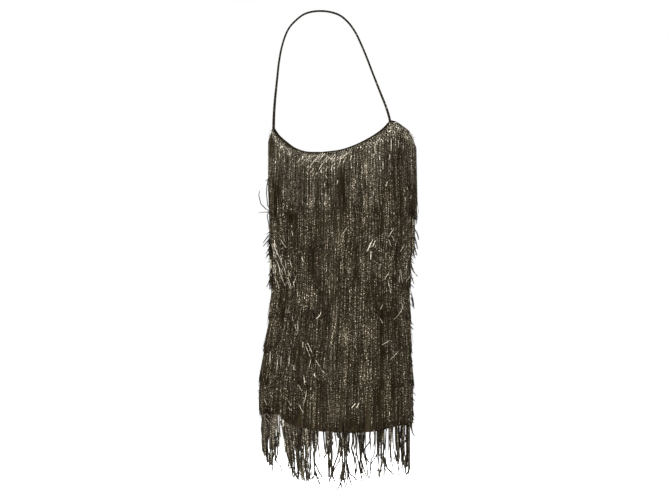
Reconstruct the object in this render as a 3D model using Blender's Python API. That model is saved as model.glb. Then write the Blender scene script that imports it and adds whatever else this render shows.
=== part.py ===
"""Fringe mini dress on a halter cord, worn and hollow, with nobody inside.

A front and a back knit panel make a tube that is open at the neck, armholes and hem.
Eight tiers of fringe lie over it, each on its own narrow header strip, and one cord
runs round the neck from peak to peak of the front.

Metres, +Z up. The origin is where the cord lies round the neck. -Y is the wearer's
front and +X the wearer's left.
"""

from math import cos, radians, sin
from typing import Callable, NamedTuple

import bmesh
import bpy
from mathutils import Vector

# The upright axis of the body of the dress, from the neck hold
AXIS_X = 0.036
AXIS_Y = 0.024

# Cloth and seams
WALL_THICKNESS = 0.0015
SEAM_GAP = 0.0005
TOUCH_GAP = 0.0003

# Edges of the front, as angles round the body from the centre front
SIDE_ANGLE = 90.0
PEAK_ANGLE = 56.0
STRAP_CLEARANCE_ANGLE = 2.2

# Fringe headers
FIRST_HEADER_HEIGHT = -0.389
HEADER_PITCH = 0.0665
LEVEL_ROWS = 6
STRAND_LENGTH = 0.111
HEADER_DEPTH = 0.012
EDGE_DROP = 0.003
HEM_STRAND_LENGTH = 0.110
HEM_HEADER_RISE = 0.0135
HEM_HEADER_DEPTH = 0.0125

# Fringe locks
LOCKS_PER_ROW = 24
LOCKS_AT_HEM = 56
LOCK_SHARE = 0.78
HEM_LOCK_SHARE = 0.70
TIP_SHARE = 0.80
LOCK_THICKNESS = 0.0015
HEADER_LIFT = 0.0006
TIER_RISE = 0.0038
TIER_SLOPE = TIER_RISE / HEADER_PITCH
HEM_LIFT = 0.0012
HEM_TIP_LIFT = 0.0030
TIP_SCATTER = 0.005
HEM_TIP_SCATTER = 0.009
HEM_TIP_SWAY = 1.0

# Bindings and neck cord
BINDING_RADIUS = 0.0016
BINDING_GAP = 0.0004
CORD_RADIUS = 0.0019
CORD_FOOT_RADIUS = 0.0028
CORD_FOOT_RISE = 0.006
CORD_STATIONS = 52

# Resolution of the cloth
COLUMN_STEP = 6.0
RINGS_ABOVE_HEADERS = 3
RINGS_BELOW_HEADERS = 4


class Section(NamedTuple):
    """A level ring of the cloth, with its half width, depths and sideways shift."""

    height: float
    half_width: float
    front_depth: float
    back_depth: float
    shift: float


class EdgePoint(NamedTuple):
    """A point of the top edge, at an angle from the centre front."""

    angle: float
    height: float


class HemPoint(NamedTuple):
    """A point of the hem, at an angle from the centre front to the wearer's left."""

    angle: float
    height: float


class Fold(NamedTuple):
    """A wave of soft vertical folds, and how deep it is at the hem."""

    waves: int
    phase: float
    depth: float


SECTIONS = (
    Section(height=-0.233, half_width=0.1500, front_depth=0.114, back_depth=0.097, shift=0.000),
    Section(height=-0.303, half_width=0.1495, front_depth=0.114, back_depth=0.097, shift=0.000),
    Section(height=-0.373, half_width=0.1490, front_depth=0.116, back_depth=0.096, shift=0.000),
    Section(height=-0.453, half_width=0.1475, front_depth=0.111, back_depth=0.095, shift=0.000),
    Section(height=-0.513, half_width=0.1435, front_depth=0.106, back_depth=0.095, shift=-0.002),
    Section(height=-0.580, half_width=0.1405, front_depth=0.104, back_depth=0.096, shift=-0.003),
    Section(height=-0.663, half_width=0.1455, front_depth=0.107, back_depth=0.104, shift=-0.007),
    Section(height=-0.723, half_width=0.1520, front_depth=0.111, back_depth=0.110, shift=-0.011),
    Section(height=-0.783, half_width=0.1570, front_depth=0.114, back_depth=0.113, shift=-0.014),
    Section(height=-0.855, half_width=0.1545, front_depth=0.113, back_depth=0.111, shift=-0.014),
    Section(height=-0.975, half_width=0.1530, front_depth=0.112, back_depth=0.110, shift=-0.014),
)

TOP_EDGE = (
    EdgePoint(angle=0.0, height=-0.3065),
    EdgePoint(angle=14.0, height=-0.3035),
    EdgePoint(angle=25.0, height=-0.2945),
    EdgePoint(angle=34.0, height=-0.2820),
    EdgePoint(angle=45.0, height=-0.2650),
    EdgePoint(angle=PEAK_ANGLE, height=-0.2450),
    EdgePoint(angle=63.0, height=-0.2465),
    EdgePoint(angle=72.0, height=-0.2530),
    EdgePoint(angle=84.0, height=-0.2600),
    EdgePoint(angle=98.0, height=-0.2720),
    EdgePoint(angle=110.0, height=-0.2920),
    EdgePoint(angle=130.0, height=-0.3240),
    EdgePoint(angle=155.0, height=-0.3440),
    EdgePoint(angle=180.0, height=-0.3480),
)

# The hem rides up over the wearer's right hip, most at one short gather
HEM_EDGE = (
    HemPoint(angle=-180.0, height=-0.850),
    HemPoint(angle=-130.0, height=-0.845),
    HemPoint(angle=-90.0, height=-0.838),
    HemPoint(angle=-54.0, height=-0.837),
    HemPoint(angle=-42.0, height=-0.836),
    HemPoint(angle=-33.0, height=-0.832),
    HemPoint(angle=-26.0, height=-0.845),
    HemPoint(angle=-15.0, height=-0.851),
    HemPoint(angle=0.0, height=-0.854),
    HemPoint(angle=22.0, height=-0.856),
    HemPoint(angle=45.0, height=-0.854),
    HemPoint(angle=66.0, height=-0.849),
    HemPoint(angle=90.0, height=-0.851),
    HemPoint(angle=130.0, height=-0.853),
    HemPoint(angle=180.0, height=-0.850),
)

FOLDS = (
    Fold(waves=7, phase=0.6, depth=0.0012),
    Fold(waves=11, phase=2.1, depth=0.0007),
)
FOLDS_START = -0.560
FOLDS_FULL = -0.855

# The cord's way round the neck, from the wearer's right peak to the left one
CORD_ROUTE = (
    (-0.0918, -0.0335, -0.216),
    (-0.0929, -0.0258, -0.183),
    (-0.0926, -0.0162, -0.140),
    (-0.0911, -0.0092, -0.100),
    (-0.0863, -0.0044, -0.066),
    (-0.0761, -0.0016, -0.036),
    (-0.0629, -0.0005, -0.019),
    (-0.0359, 0.0000, -0.002),
    (0.0000, 0.0000, 0.000),
    (0.0353, 0.0000, -0.010),
    (0.0573, -0.0004, -0.027),
    (0.0751, -0.0019, -0.051),
    (0.0889, -0.0047, -0.078),
    (0.1009, -0.0087, -0.104),
    (0.1182, -0.0164, -0.144),
    (0.1357, -0.0259, -0.183),
    (0.1508, -0.0345, -0.216),
)


def hermite(x0, x1, y0, y1, slope0, slope1, x):
    """Cubic between two points with given slopes."""
    span = x1 - x0
    u = (x - x0) / span
    return (
        (2 * u**3 - 3 * u**2 + 1) * y0
        + (u**3 - 2 * u**2 + u) * span * slope0
        + (3 * u**2 - 2 * u**3) * y1
        + (u**3 - u**2) * span * slope1
    )


def smooth_table(keys, values, x):
    """Smooth curve through a table whose keys rise."""
    x = min(max(x, keys[0]), keys[-1])
    last = len(keys) - 1
    index = 0
    while index < last - 1 and x > keys[index + 1]:
        index += 1

    def slope(i):
        low = max(i - 1, 0)
        high = min(i + 1, last)
        return (values[high] - values[low]) / (keys[high] - keys[low])

    return hermite(
        keys[index], keys[index + 1], values[index], values[index + 1],
        slope(index), slope(index + 1), x,
    )


SECTION_KEYS = [-row.height for row in SECTIONS]


def section(height):
    """The cloth's half width, front depth, back depth and shift at a height."""
    columns = ("half_width", "front_depth", "back_depth", "shift")
    return [
        smooth_table(SECTION_KEYS, [getattr(row, name) for row in SECTIONS], -height)
        for name in columns
    ]


def edge_height(angle):
    """Height of the top edge at an angle in degrees, the same on both sides."""
    turned = abs((angle + 180.0) % 360.0 - 180.0)
    peak = next(i for i, row in enumerate(TOP_EDGE) if row.angle == PEAK_ANGLE)
    rows = TOP_EDGE[: peak + 1] if turned <= PEAK_ANGLE else TOP_EDGE[peak:]
    return smooth_table([row.angle for row in rows], [row.height for row in rows], turned)


def hem_height(angle):
    """Height of the cloth's lower edge at an angle in degrees."""
    turned = (angle + 180.0) % 360.0 - 180.0
    return smooth_table([row.angle for row in HEM_EDGE], [row.height for row in HEM_EDGE], turned)


def fold_depth(angle, height):
    """How far the soft folds push the cloth out, growing from the waist to the hem."""
    grown = min(max((FOLDS_START - height) / (FOLDS_START - FOLDS_FULL), 0.0), 1.0)
    wave = sum(row.depth * cos(row.waves * radians(angle) + row.phase) for row in FOLDS)
    return grown * wave


def wall_point(angle, height, lift=0.0):
    """A point at an angle and a height, lifted out from the cloth's outer face."""
    half_width, front_depth, back_depth, shift = section(height)
    turn = radians(angle)
    depth = front_depth if cos(turn) >= 0 else back_depth
    normal = Vector((depth * sin(turn), -half_width * cos(turn), 0.0)).normalized()
    base = Vector((AXIS_X + shift + half_width * sin(turn), AXIS_Y - depth * cos(turn), height))
    return base + normal * (lift + fold_depth(angle, height))


def chord_push(start, end, height, lift):
    """Extra lift for both ends of a straight stretch, so that its middle clears the cloth."""
    first = wall_point(start, height, lift)
    last = wall_point(end, height, lift)
    outward = wall_point((start + end) / 2, height, lift + 1.0) - wall_point(
        (start + end) / 2, height, lift
    )
    shortfall = 0.0
    for share in (0.2, 0.35, 0.5, 0.65, 0.8):
        bulge = wall_point(start + (end - start) * share, height, lift)
        shortfall = max(shortfall, (bulge - first.lerp(last, share)).dot(outward))
    return shortfall


def scatter(index, row):
    """A steady number from -1 to 1 for one lock of one row."""
    return (sin(index * 12.9898 + row * 78.233) * 43758.5453) % 2.0 - 1.0


def make_material(name, colour, roughness, metallic):
    """A Principled material."""
    material = bpy.data.materials.new(name)
    material.use_nodes = True
    shader = material.node_tree.nodes["Principled BSDF"]
    shader.inputs["Base Color"].default_value = (*colour, 1.0)
    shader.inputs["Roughness"].default_value = roughness
    shader.inputs["Metallic"].default_value = metallic
    material.diffuse_color = (*colour, 1.0)
    return material


def add_object(name, data, material):
    """An object in the scene under the dress's empty."""
    data.materials.append(material)
    item = bpy.data.objects.new(name, data)
    item.parent = dress
    bpy.context.scene.collection.objects.link(item)
    return item


def ring_heights(angle):
    """Heights of the cloth's rings at an angle, from the hem to the top edge."""
    step = HEADER_PITCH / 2
    hem = hem_height(angle)
    first_ring = FIRST_HEADER_HEIGHT - step * 2 * (LEVEL_ROWS - 1)
    heights = [
        hem + (first_ring - hem) * index / RINGS_BELOW_HEADERS
        for index in range(RINGS_BELOW_HEADERS)
    ]
    heights += [first_ring + step * index for index in range(2 * (LEVEL_ROWS - 1) + 1)]
    top = edge_height(angle)
    for index in range(1, RINGS_ABOVE_HEADERS + 1):
        share = index / RINGS_ABOVE_HEADERS
        heights.append(FIRST_HEADER_HEIGHT + (top - FIRST_HEADER_HEIGHT) * share)
    return heights


def column_angles(first_angle, last_angle):
    """Angles of the cloth's columns from one angle to another, with the peaks among them."""
    count = int(360.0 / COLUMN_STEP)
    marks = [COLUMN_STEP * index for index in range(-count, 2 * count)]
    marks += [-PEAK_ANGLE, PEAK_ANGLE, 360.0 - PEAK_ANGLE]
    margin = COLUMN_STEP / 10
    inner = [mark for mark in marks if first_angle + margin < mark < last_angle - margin]
    return [first_angle, *sorted(inner), last_angle]


def panel(name, first_angle, last_angle, seam_shift, material):
    """One half of the tube: a grid on the outer face, thickened inwards."""
    mesh = bpy.data.meshes.new(name)
    grid = bmesh.new()
    columns = []
    for angle in column_angles(first_angle, last_angle):
        column = []
        for height in ring_heights(angle):
            point = wall_point(angle, height)
            point.y += seam_shift
            column.append(grid.verts.new(point))
        columns.append(column)
    for left, right in zip(columns, columns[1:]):
        for low in range(len(left) - 1):
            grid.faces.new((left[low], right[low], right[low + 1], left[low + 1]))
    grid.to_mesh(mesh)
    grid.free()
    mesh.shade_smooth()
    item = add_object(name, mesh, material)
    solidify = item.modifiers.new("cloth", "SOLIDIFY")
    solidify.thickness = WALL_THICKNESS
    solidify.offset = -1.0
    return item


class Tier(NamedTuple):
    """One row of fringe, with its heights and lifts as functions of the angle.

    header_top and header_bottom give the strip's heights. bends gives the heights of a
    lock's rings below the strip. lift gives the distance from the cloth at an angle and a
    height. tip gives a lock's own lower end, and sway its lean in degrees.
    """

    name: str
    row: int
    locks: int
    share: float
    header_top: Callable
    header_bottom: Callable
    bends: Callable
    lift: Callable
    tip: Callable
    sway: float = 0.0


def fringe_row(tier, material):
    """A header strip round the body with separate locks that hang from it."""
    mesh = bpy.data.meshes.new(tier.name)
    body = bmesh.new()
    header_top = tier.header_top
    header_bottom = tier.header_bottom
    locks = tier.locks
    pitch = 360.0 / locks
    half = pitch * tier.share / 2
    offset_angle = pitch / 2 * (tier.row % 2)

    def ring(start, end, height_start, height_end, thickness):
        """Four corners of a lock: inner start, inner end, outer end, outer start."""
        middle = (height_start + height_end) / 2
        inner = tier.lift((start + end) / 2, middle)
        push = chord_push(start, end, middle, inner)
        corners = (
            (start, height_start, inner + push),
            (end, height_end, inner + push),
            (end, height_end, inner + push + thickness),
            (start, height_start, inner + push + thickness),
        )
        return [body.verts.new(wall_point(*corner)) for corner in corners]

    def bridge(upper, lower):
        """Four side faces between two rings of a lock."""
        for side in range(4):
            after = (side + 1) % 4
            body.faces.new((upper[side], upper[after], lower[after], lower[side]))

    tops = []
    bottoms = []
    for index in range(locks):
        centre = offset_angle + pitch * index
        start = centre - half
        end = centre + half
        top = ring(start, end, header_top(start), header_top(end), LOCK_THICKNESS)
        bottom = ring(start, end, header_bottom(start), header_bottom(end), LOCK_THICKNESS)
        body.faces.new(top)
        for first, second in ((0, 1), (2, 3)):
            body.faces.new((top[first], top[second], bottom[second], bottom[first]))
        tops.append(top)
        bottoms.append(bottom)
        rings = [bottom]
        lock_tip = tier.tip(index, centre)
        heights = [height for height in tier.bends(centre) if height > lock_tip + HEADER_DEPTH]
        heights.append(lock_tip)
        fall = header_bottom(centre) - lock_tip
        for height in heights:
            down = (header_bottom(centre) - height) / fall
            width = 1.0 - (1.0 - TIP_SHARE) * down
            middle = centre + tier.sway * scatter(index + 3, tier.row + 5) * down * down
            rings.append(ring(middle - half * width, middle + half * width, height, height,
                              LOCK_THICKNESS))
        for upper, lower in zip(rings, rings[1:]):
            bridge(upper, lower)
        body.faces.new(rings[-1])
    for index in range(locks):
        after = (index + 1) % locks
        corners = []
        for rings in (tops, bottoms):
            left = rings[index]
            right = rings[after]
            corners.append([left[1], right[0], right[3], left[2]])
        top, bottom = corners
        body.faces.new(top)
        body.faces.new(bottom)
        for first, second in ((0, 1), (2, 3)):
            body.faces.new((top[first], top[second], bottom[second], bottom[first]))
    bmesh.ops.recalc_face_normals(body, faces=body.faces)
    body.to_mesh(mesh)
    body.free()
    return add_object(tier.name, mesh, material)


def tier_lift(header):
    """Distance of a level row from the cloth, more with each centimetre below its header."""
    return lambda angle, height: HEADER_LIFT + (header - height) * TIER_SLOPE


def level_row(number, material):
    """One of the level rows that cover the body of the dress."""
    header = FIRST_HEADER_HEIGHT - HEADER_PITCH * (number - 1)
    tier = Tier(
        f"fringe_row_{number}",
        row=number,
        locks=LOCKS_PER_ROW,
        share=LOCK_SHARE,
        header_top=lambda angle: header,
        header_bottom=lambda angle: header - HEADER_DEPTH,
        bends=lambda angle: [header - HEADER_PITCH],
        lift=tier_lift(header),
        tip=lambda index, angle: header - STRAND_LENGTH + TIP_SCATTER * scatter(index, number),
    )
    return fringe_row(tier, material)


def edge_row(material):
    """The top row, whose header follows the neckline, the armholes and the back edge."""
    row = 0
    end = FIRST_HEADER_HEIGHT - (STRAND_LENGTH - HEADER_PITCH)

    def header(angle):
        return edge_height(angle) - EDGE_DROP

    def lift(angle, height):
        drop = header(angle) - FIRST_HEADER_HEIGHT
        if height >= FIRST_HEADER_HEIGHT:
            return HEADER_LIFT + TIER_RISE * (header(angle) - height) / drop
        return HEADER_LIFT + TIER_RISE + (FIRST_HEADER_HEIGHT - height) * TIER_SLOPE

    tier = Tier(
        "fringe_edge",
        row=row,
        locks=LOCKS_PER_ROW,
        share=LOCK_SHARE,
        header_top=header,
        header_bottom=lambda angle: header(angle) - HEADER_DEPTH,
        bends=lambda angle: [FIRST_HEADER_HEIGHT],
        lift=lift,
        tip=lambda index, angle: end + TIP_SCATTER * scatter(index, row),
    )
    return fringe_row(tier, material)


def hem_row(material):
    """The hem's fringe, which follows the hem and hangs free below the cloth."""
    row = LEVEL_ROWS + 1

    def header_top(angle):
        return hem_height(angle) + HEM_HEADER_RISE

    def lift(angle, height):
        share = (header_top(angle) - height) / (HEM_HEADER_RISE + HEM_STRAND_LENGTH)
        return HEM_LIFT + (HEM_TIP_LIFT - HEM_LIFT) * share

    def tip(index, angle):
        shorter = HEM_TIP_SCATTER * abs(scatter(index, row))
        return hem_height(angle) - HEM_STRAND_LENGTH + shorter

    tier = Tier(
        "fringe_hem",
        row=row,
        locks=LOCKS_AT_HEM,
        share=HEM_LOCK_SHARE,
        header_top=header_top,
        header_bottom=lambda angle: header_top(angle) - HEM_HEADER_DEPTH,
        bends=lambda angle: [hem_height(angle) - HEM_STRAND_LENGTH / 2],
        lift=lift,
        tip=tip,
        sway=HEM_TIP_SWAY,
    )
    return fringe_row(tier, material)


def tube(name, points, radii, resolution, material):
    """A round tube through points, with closed ends."""
    curve = bpy.data.curves.new(name, "CURVE")
    curve.dimensions = "3D"
    curve.bevel_depth = 1.0
    curve.bevel_resolution = resolution
    curve.use_fill_caps = True
    spline = curve.splines.new("POLY")
    spline.points.add(len(points) - 1)
    for target, point, radius in zip(spline.points, points, radii):
        target.co = (*point, 1.0)
        target.radius = radius
    return add_object(name, curve, material)


def edge_stretch(angle):
    """How much longer the top edge is than its level run at an angle."""
    before = wall_point(angle - 1.0, edge_height(angle - 1.0))
    after = wall_point(angle + 1.0, edge_height(angle + 1.0))
    run = after - before
    return run.length / Vector((run.x, run.y)).length


def binding(name, first_angle, last_angle, material):
    """A narrow binding that sits on the cloth's top edge between two angles."""
    points = []
    for angle in column_angles(first_angle, last_angle):
        seat = (BINDING_RADIUS + BINDING_GAP) * edge_stretch(angle)
        points.append(wall_point(angle, edge_height(angle) + seat, -WALL_THICKNESS / 2))
    return tube(name, points, [BINDING_RADIUS] * len(points), 1, material)


def cord_points():
    """Stations of the neck cord on a smooth curve through its route, peak to peak."""
    rise = Vector((0.0, 0.0, CORD_FOOT_RISE))
    right, left = (
        wall_point(side * PEAK_ANGLE, edge_height(PEAK_ANGLE) + TOUCH_GAP, -WALL_THICKNESS / 2)
        for side in (-1, 1)
    )
    route = [right, right + rise, *(Vector(point) for point in CORD_ROUTE), left + rise, left]
    keys = [0.0]
    for before, after in zip(route, route[1:]):
        keys.append(keys[-1] + (after - before).length)
    stations = []
    for index in range(CORD_STATIONS):
        along = keys[-1] * index / (CORD_STATIONS - 1)
        stations.append(Vector([
            smooth_table(keys, [point[axis] for point in route], along) for axis in range(3)
        ]))
    return stations


def neck_cord(material):
    """The halter cord, a little thicker where it meets the peaks."""
    points = cord_points()
    radii = []
    for index in range(CORD_STATIONS):
        to_foot = abs(2 * index / (CORD_STATIONS - 1) - 1)
        radii.append(CORD_RADIUS + (CORD_FOOT_RADIUS - CORD_RADIUS) * to_foot**3)
    return tube("neck_strap", points, radii, 2, material)


for leftover in list(bpy.data.objects):
    bpy.data.objects.remove(leftover, do_unlink=True)

knit = make_material("dark_metallic_knit", (0.045, 0.033, 0.023), 0.55, 0.25)
tape = make_material("dark_binding", (0.022, 0.017, 0.013), 0.6, 0.1)
strands = make_material("bronze_fringe", (0.075, 0.055, 0.038), 0.45, 0.35)
cord = make_material("twisted_cord", (0.030, 0.024, 0.018), 0.45, 0.35)

dress = bpy.data.objects.new("dress", None)
bpy.context.scene.collection.objects.link(dress)

panel("front_panel", -SIDE_ANGLE, SIDE_ANGLE, -SEAM_GAP / 2, knit)
panel("back_panel", SIDE_ANGLE, 360.0 - SIDE_ANGLE, SEAM_GAP / 2, knit)
binding("neckline_binding", STRAP_CLEARANCE_ANGLE - PEAK_ANGLE,
        PEAK_ANGLE - STRAP_CLEARANCE_ANGLE, tape)
binding("back_binding", PEAK_ANGLE + STRAP_CLEARANCE_ANGLE,
        360.0 - PEAK_ANGLE - STRAP_CLEARANCE_ANGLE, tape)
neck_cord(cord)
edge_row(strands)
for number in range(1, LEVEL_ROWS + 1):
    level_row(number, strands)
hem_row(strands)
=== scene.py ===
"""Looks of the fringe mini dress: dark metallic knit, bindings, a twisted neck cord and
tiers of fine yarn fringe, in which each strand is a thin closed tube.

Metres, +Z up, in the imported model's frame. The origin is where the cord lies round the
neck, -Y is the wearer's front and +X the wearer's left. Angles run round the body in
degrees from the centre front, positive to the wearer's left.
"""

import logging
import math
from dataclasses import dataclass, field
from enum import Enum
from typing import Optional

import bpy
import numpy as np
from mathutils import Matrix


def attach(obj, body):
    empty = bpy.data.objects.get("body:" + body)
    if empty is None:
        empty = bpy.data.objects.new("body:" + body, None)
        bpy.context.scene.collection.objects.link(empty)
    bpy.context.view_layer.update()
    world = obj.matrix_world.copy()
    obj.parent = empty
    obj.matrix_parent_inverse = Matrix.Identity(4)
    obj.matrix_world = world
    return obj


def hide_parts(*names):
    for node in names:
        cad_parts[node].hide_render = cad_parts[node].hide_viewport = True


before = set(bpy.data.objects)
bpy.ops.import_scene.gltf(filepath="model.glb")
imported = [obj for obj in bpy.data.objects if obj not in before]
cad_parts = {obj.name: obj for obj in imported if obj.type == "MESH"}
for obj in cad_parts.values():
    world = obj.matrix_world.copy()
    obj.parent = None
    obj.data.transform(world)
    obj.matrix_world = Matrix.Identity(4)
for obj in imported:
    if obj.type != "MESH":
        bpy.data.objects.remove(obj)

LOG = logging.getLogger("fringe_dress")
BODY = "root"
UV_NAME = "yarn"
# The attribute that carries painted light and painted shade on the strands
PAINTED_LIGHT_NAME = "painted_light"
MM = 0.001

# Millimetres of cloth along one degree, near enough to space a route's points
ROUTE_DEGREE = 2.4

# Places at which the way round the body is measured
ANGLE_MARKS = 721

# The hem's level, at which a degree is measured for its strands
HEM_LEVEL = -0.85

# The neckline's level, at which the top tier's strands and the edge stitches are spaced
NECK_LEVEL = -0.30


class Slot(Enum):
    """The record's material slots."""

    KNIT = "knit"
    BINDING = "binding"
    CORD = "cord"
    FRINGE = "fringe"


@dataclass(frozen=True)
class Section:
    """A level ring of the cloth, with its half width, depths and sideways shift."""

    height: float
    half_width: float
    front_depth: float
    back_depth: float
    shift: float


@dataclass(frozen=True)
class EdgePoint:
    """A point of an edge's curve: an angle, and a height or a change of height."""

    angle: float
    height: float


@dataclass(frozen=True)
class Fold:
    """A wave of soft vertical folds, and how deep it is at the hem."""

    waves: int
    phase: float
    depth: float


@dataclass(frozen=True)
class StandOff:
    """A stretch of a tier with more lift at its roots, and more or less at its tips."""

    angle: float
    half_angle: float
    root_lift: float
    tip_lift: float


def signed_angle(angles: np.ndarray) -> np.ndarray:
    """Brings angles between -180 and 180 degrees.

    Args:
        angles: any angles in degrees.

    Returns:
        The same directions as signed angles.
    """
    return (np.asarray(angles, float) + 180.0) % 360.0 - 180.0


def smooth_table(keys: np.ndarray, values: np.ndarray, x: np.ndarray) -> np.ndarray:
    """Reads a smooth curve through a table.

    Args:
        keys: the table's rising keys.
        values: a value for each key.
        x: where to read the curve.

    Returns:
        The curve's values at x.
    """
    keys = np.asarray(keys, float)
    values = np.asarray(values, float)
    x = np.clip(np.asarray(x, float), keys[0], keys[-1])
    slopes = np.empty_like(values)
    slopes[1:-1] = (values[2:] - values[:-2]) / (keys[2:] - keys[:-2])
    slopes[0] = (values[1] - values[0]) / (keys[1] - keys[0])
    slopes[-1] = (values[-1] - values[-2]) / (keys[-1] - keys[-2])
    low = np.clip(np.searchsorted(keys, x) - 1, 0, len(keys) - 2)
    span = keys[low + 1] - keys[low]
    u = (x - keys[low]) / span
    return (
        (2 * u**3 - 3 * u**2 + 1) * values[low]
        + (u**3 - 2 * u**2 + u) * span * slopes[low]
        + (3 * u**2 - 2 * u**3) * values[low + 1]
        + (u**3 - u**2) * span * slopes[low + 1]
    )


def edge_height(rows: tuple, angles: np.ndarray) -> np.ndarray:
    """Reads an edge's smooth curve.

    Args:
        rows: the edge's points, by rising angle.
        angles: where to read the curve.

    Returns:
        A height for each angle.
    """
    return smooth_table([row.angle for row in rows], [row.height for row in rows], angles)


@dataclass(frozen=True)
class DressForm:
    """The outer face of the cloth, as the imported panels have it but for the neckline's sag."""

    axis_x: float = 0.036
    axis_y: float = 0.024
    peak_angle: float = 56.0
    folds_start: float = -0.560
    folds_full: float = -0.855
    sections: tuple = (
        Section(-0.233, 0.1500, 0.114, 0.097, 0.000),
        Section(-0.303, 0.1495, 0.114, 0.097, 0.000),
        Section(-0.373, 0.1490, 0.116, 0.096, 0.000),
        Section(-0.453, 0.1475, 0.111, 0.095, 0.000),
        Section(-0.513, 0.1435, 0.106, 0.095, -0.002),
        Section(-0.580, 0.1405, 0.104, 0.096, -0.003),
        Section(-0.663, 0.1455, 0.107, 0.104, -0.007),
        Section(-0.723, 0.1520, 0.111, 0.110, -0.011),
        Section(-0.783, 0.1570, 0.114, 0.113, -0.014),
        Section(-0.855, 0.1545, 0.113, 0.111, -0.014),
        Section(-0.975, 0.1530, 0.112, 0.110, -0.014),
    )
    top_edge: tuple = (
        EdgePoint(0.0, -0.3065),
        EdgePoint(14.0, -0.3035),
        EdgePoint(25.0, -0.2945),
        EdgePoint(34.0, -0.2820),
        EdgePoint(45.0, -0.2650),
        EdgePoint(56.0, -0.2450),
        EdgePoint(63.0, -0.2465),
        EdgePoint(72.0, -0.2530),
        EdgePoint(84.0, -0.2600),
        EdgePoint(98.0, -0.2720),
        EdgePoint(110.0, -0.2920),
        EdgePoint(130.0, -0.3240),
        EdgePoint(155.0, -0.3440),
        EdgePoint(180.0, -0.3480),
    )
    neck_sag: tuple = (
        EdgePoint(-56.0, 0.0),
        EdgePoint(-34.0, 0.0016),
        EdgePoint(-22.0, 0.0),
        EdgePoint(-8.0, -0.0014),
        EdgePoint(14.0, -0.0014),
        EdgePoint(25.0, -0.0018),
        EdgePoint(36.0, -0.0038),
        EdgePoint(45.0, -0.0042),
        EdgePoint(51.0, -0.0034),
        EdgePoint(56.0, 0.0),
    )
    hem_edge: tuple = (
        EdgePoint(-180.0, -0.850),
        EdgePoint(-130.0, -0.845),
        EdgePoint(-90.0, -0.838),
        EdgePoint(-54.0, -0.837),
        EdgePoint(-42.0, -0.836),
        EdgePoint(-33.0, -0.832),
        EdgePoint(-26.0, -0.845),
        EdgePoint(-15.0, -0.851),
        EdgePoint(0.0, -0.854),
        EdgePoint(22.0, -0.856),
        EdgePoint(45.0, -0.854),
        EdgePoint(66.0, -0.849),
        EdgePoint(90.0, -0.851),
        EdgePoint(130.0, -0.853),
        EdgePoint(180.0, -0.850),
    )
    folds: tuple = (Fold(7, 0.6, 0.0012), Fold(11, 2.1, 0.0007))

    def ring(self, angles: np.ndarray, heights: np.ndarray) -> tuple[np.ndarray, ...]:
        """Reads the section table at points of the cloth.

        Args:
            angles: angles round the body.
            heights: heights of the same points.

        Returns:
            Angles in radians, half widths, depths to the front or the back, and shifts.
        """
        turn = np.radians(angles)
        keys = [-row.height for row in self.sections]
        half_width, front, back, shift = (
            smooth_table(keys, [getattr(row, name) for row in self.sections], -heights)
            for name in ("half_width", "front_depth", "back_depth", "shift")
        )
        return turn, half_width, np.where(np.cos(turn) >= 0, front, back), shift

    def top(self, angles: np.ndarray) -> np.ndarray:
        """Heights of the top edge.

        Args:
            angles: angles round the body.

        Returns:
            A height for each angle, the same on both sides but for the neckline's sag.
        """
        signed = signed_angle(angles)
        turned = np.abs(signed)
        peak = [row.angle for row in self.top_edge].index(self.peak_angle)
        front = edge_height(self.top_edge[: peak + 1], turned)
        back = edge_height(self.top_edge[peak:], turned)
        sag = edge_height(self.neck_sag, signed)
        return np.where(turned <= self.peak_angle, front, back) + sag

    def hem(self, angles: np.ndarray) -> np.ndarray:
        """Heights of the hem.

        Args:
            angles: angles round the body.

        Returns:
            A height for each angle.
        """
        return edge_height(self.hem_edge, signed_angle(angles))

    def fold_depth(self, angles: np.ndarray, heights: np.ndarray) -> np.ndarray:
        """How far the soft folds push the cloth out, growing from waist to hem.

        Args:
            angles: angles round the body.
            heights: heights of the same points.

        Returns:
            A distance for each point.
        """
        grown = (self.folds_start - heights) / (self.folds_start - self.folds_full)
        wave = sum(
            fold.depth * np.cos(fold.waves * np.radians(angles) + fold.phase)
            for fold in self.folds
        )
        return np.clip(grown, 0.0, 1.0) * wave

    def outward(self, angles: np.ndarray, heights: np.ndarray) -> np.ndarray:
        """Level unit normals of the cloth.

        Args:
            angles: angles round the body.
            heights: heights of the same points.

        Returns:
            An array of normals.
        """
        turn, half_width, depth, _ = self.ring(angles, heights)
        normals = np.stack(
            [depth * np.sin(turn), -half_width * np.cos(turn), np.zeros_like(depth)], -1
        )
        return normals / np.linalg.norm(normals, axis=-1, keepdims=True)

    def points(self, angles: np.ndarray, heights: np.ndarray, lifts: np.ndarray) -> np.ndarray:
        """Points lifted out from the cloth.

        Args:
            angles: angles round the body.
            heights: heights of the points.
            lifts: distances out from the cloth's outer face.

        Returns:
            An array of points.
        """
        angles, heights, lifts = np.broadcast_arrays(angles, heights, lifts)
        turn, half_width, depth, shift = self.ring(angles, heights)
        base = np.stack(
            [
                self.axis_x + shift + half_width * np.sin(turn),
                self.axis_y - depth * np.cos(turn),
                heights,
            ],
            -1,
        )
        out = lifts + self.fold_depth(angles, heights)
        return base + self.outward(angles, heights) * out[..., None]

    def metres_per_degree(self, angles: np.ndarray, heights: np.ndarray) -> np.ndarray:
        """Length of the cloth along one degree.

        Args:
            angles: angles round the body.
            heights: heights of the same points.

        Returns:
            A length for each point.
        """
        turn, half_width, depth, _ = self.ring(angles, heights)
        return np.radians(1.0) * np.hypot(half_width * np.cos(turn), depth * np.sin(turn))

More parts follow.
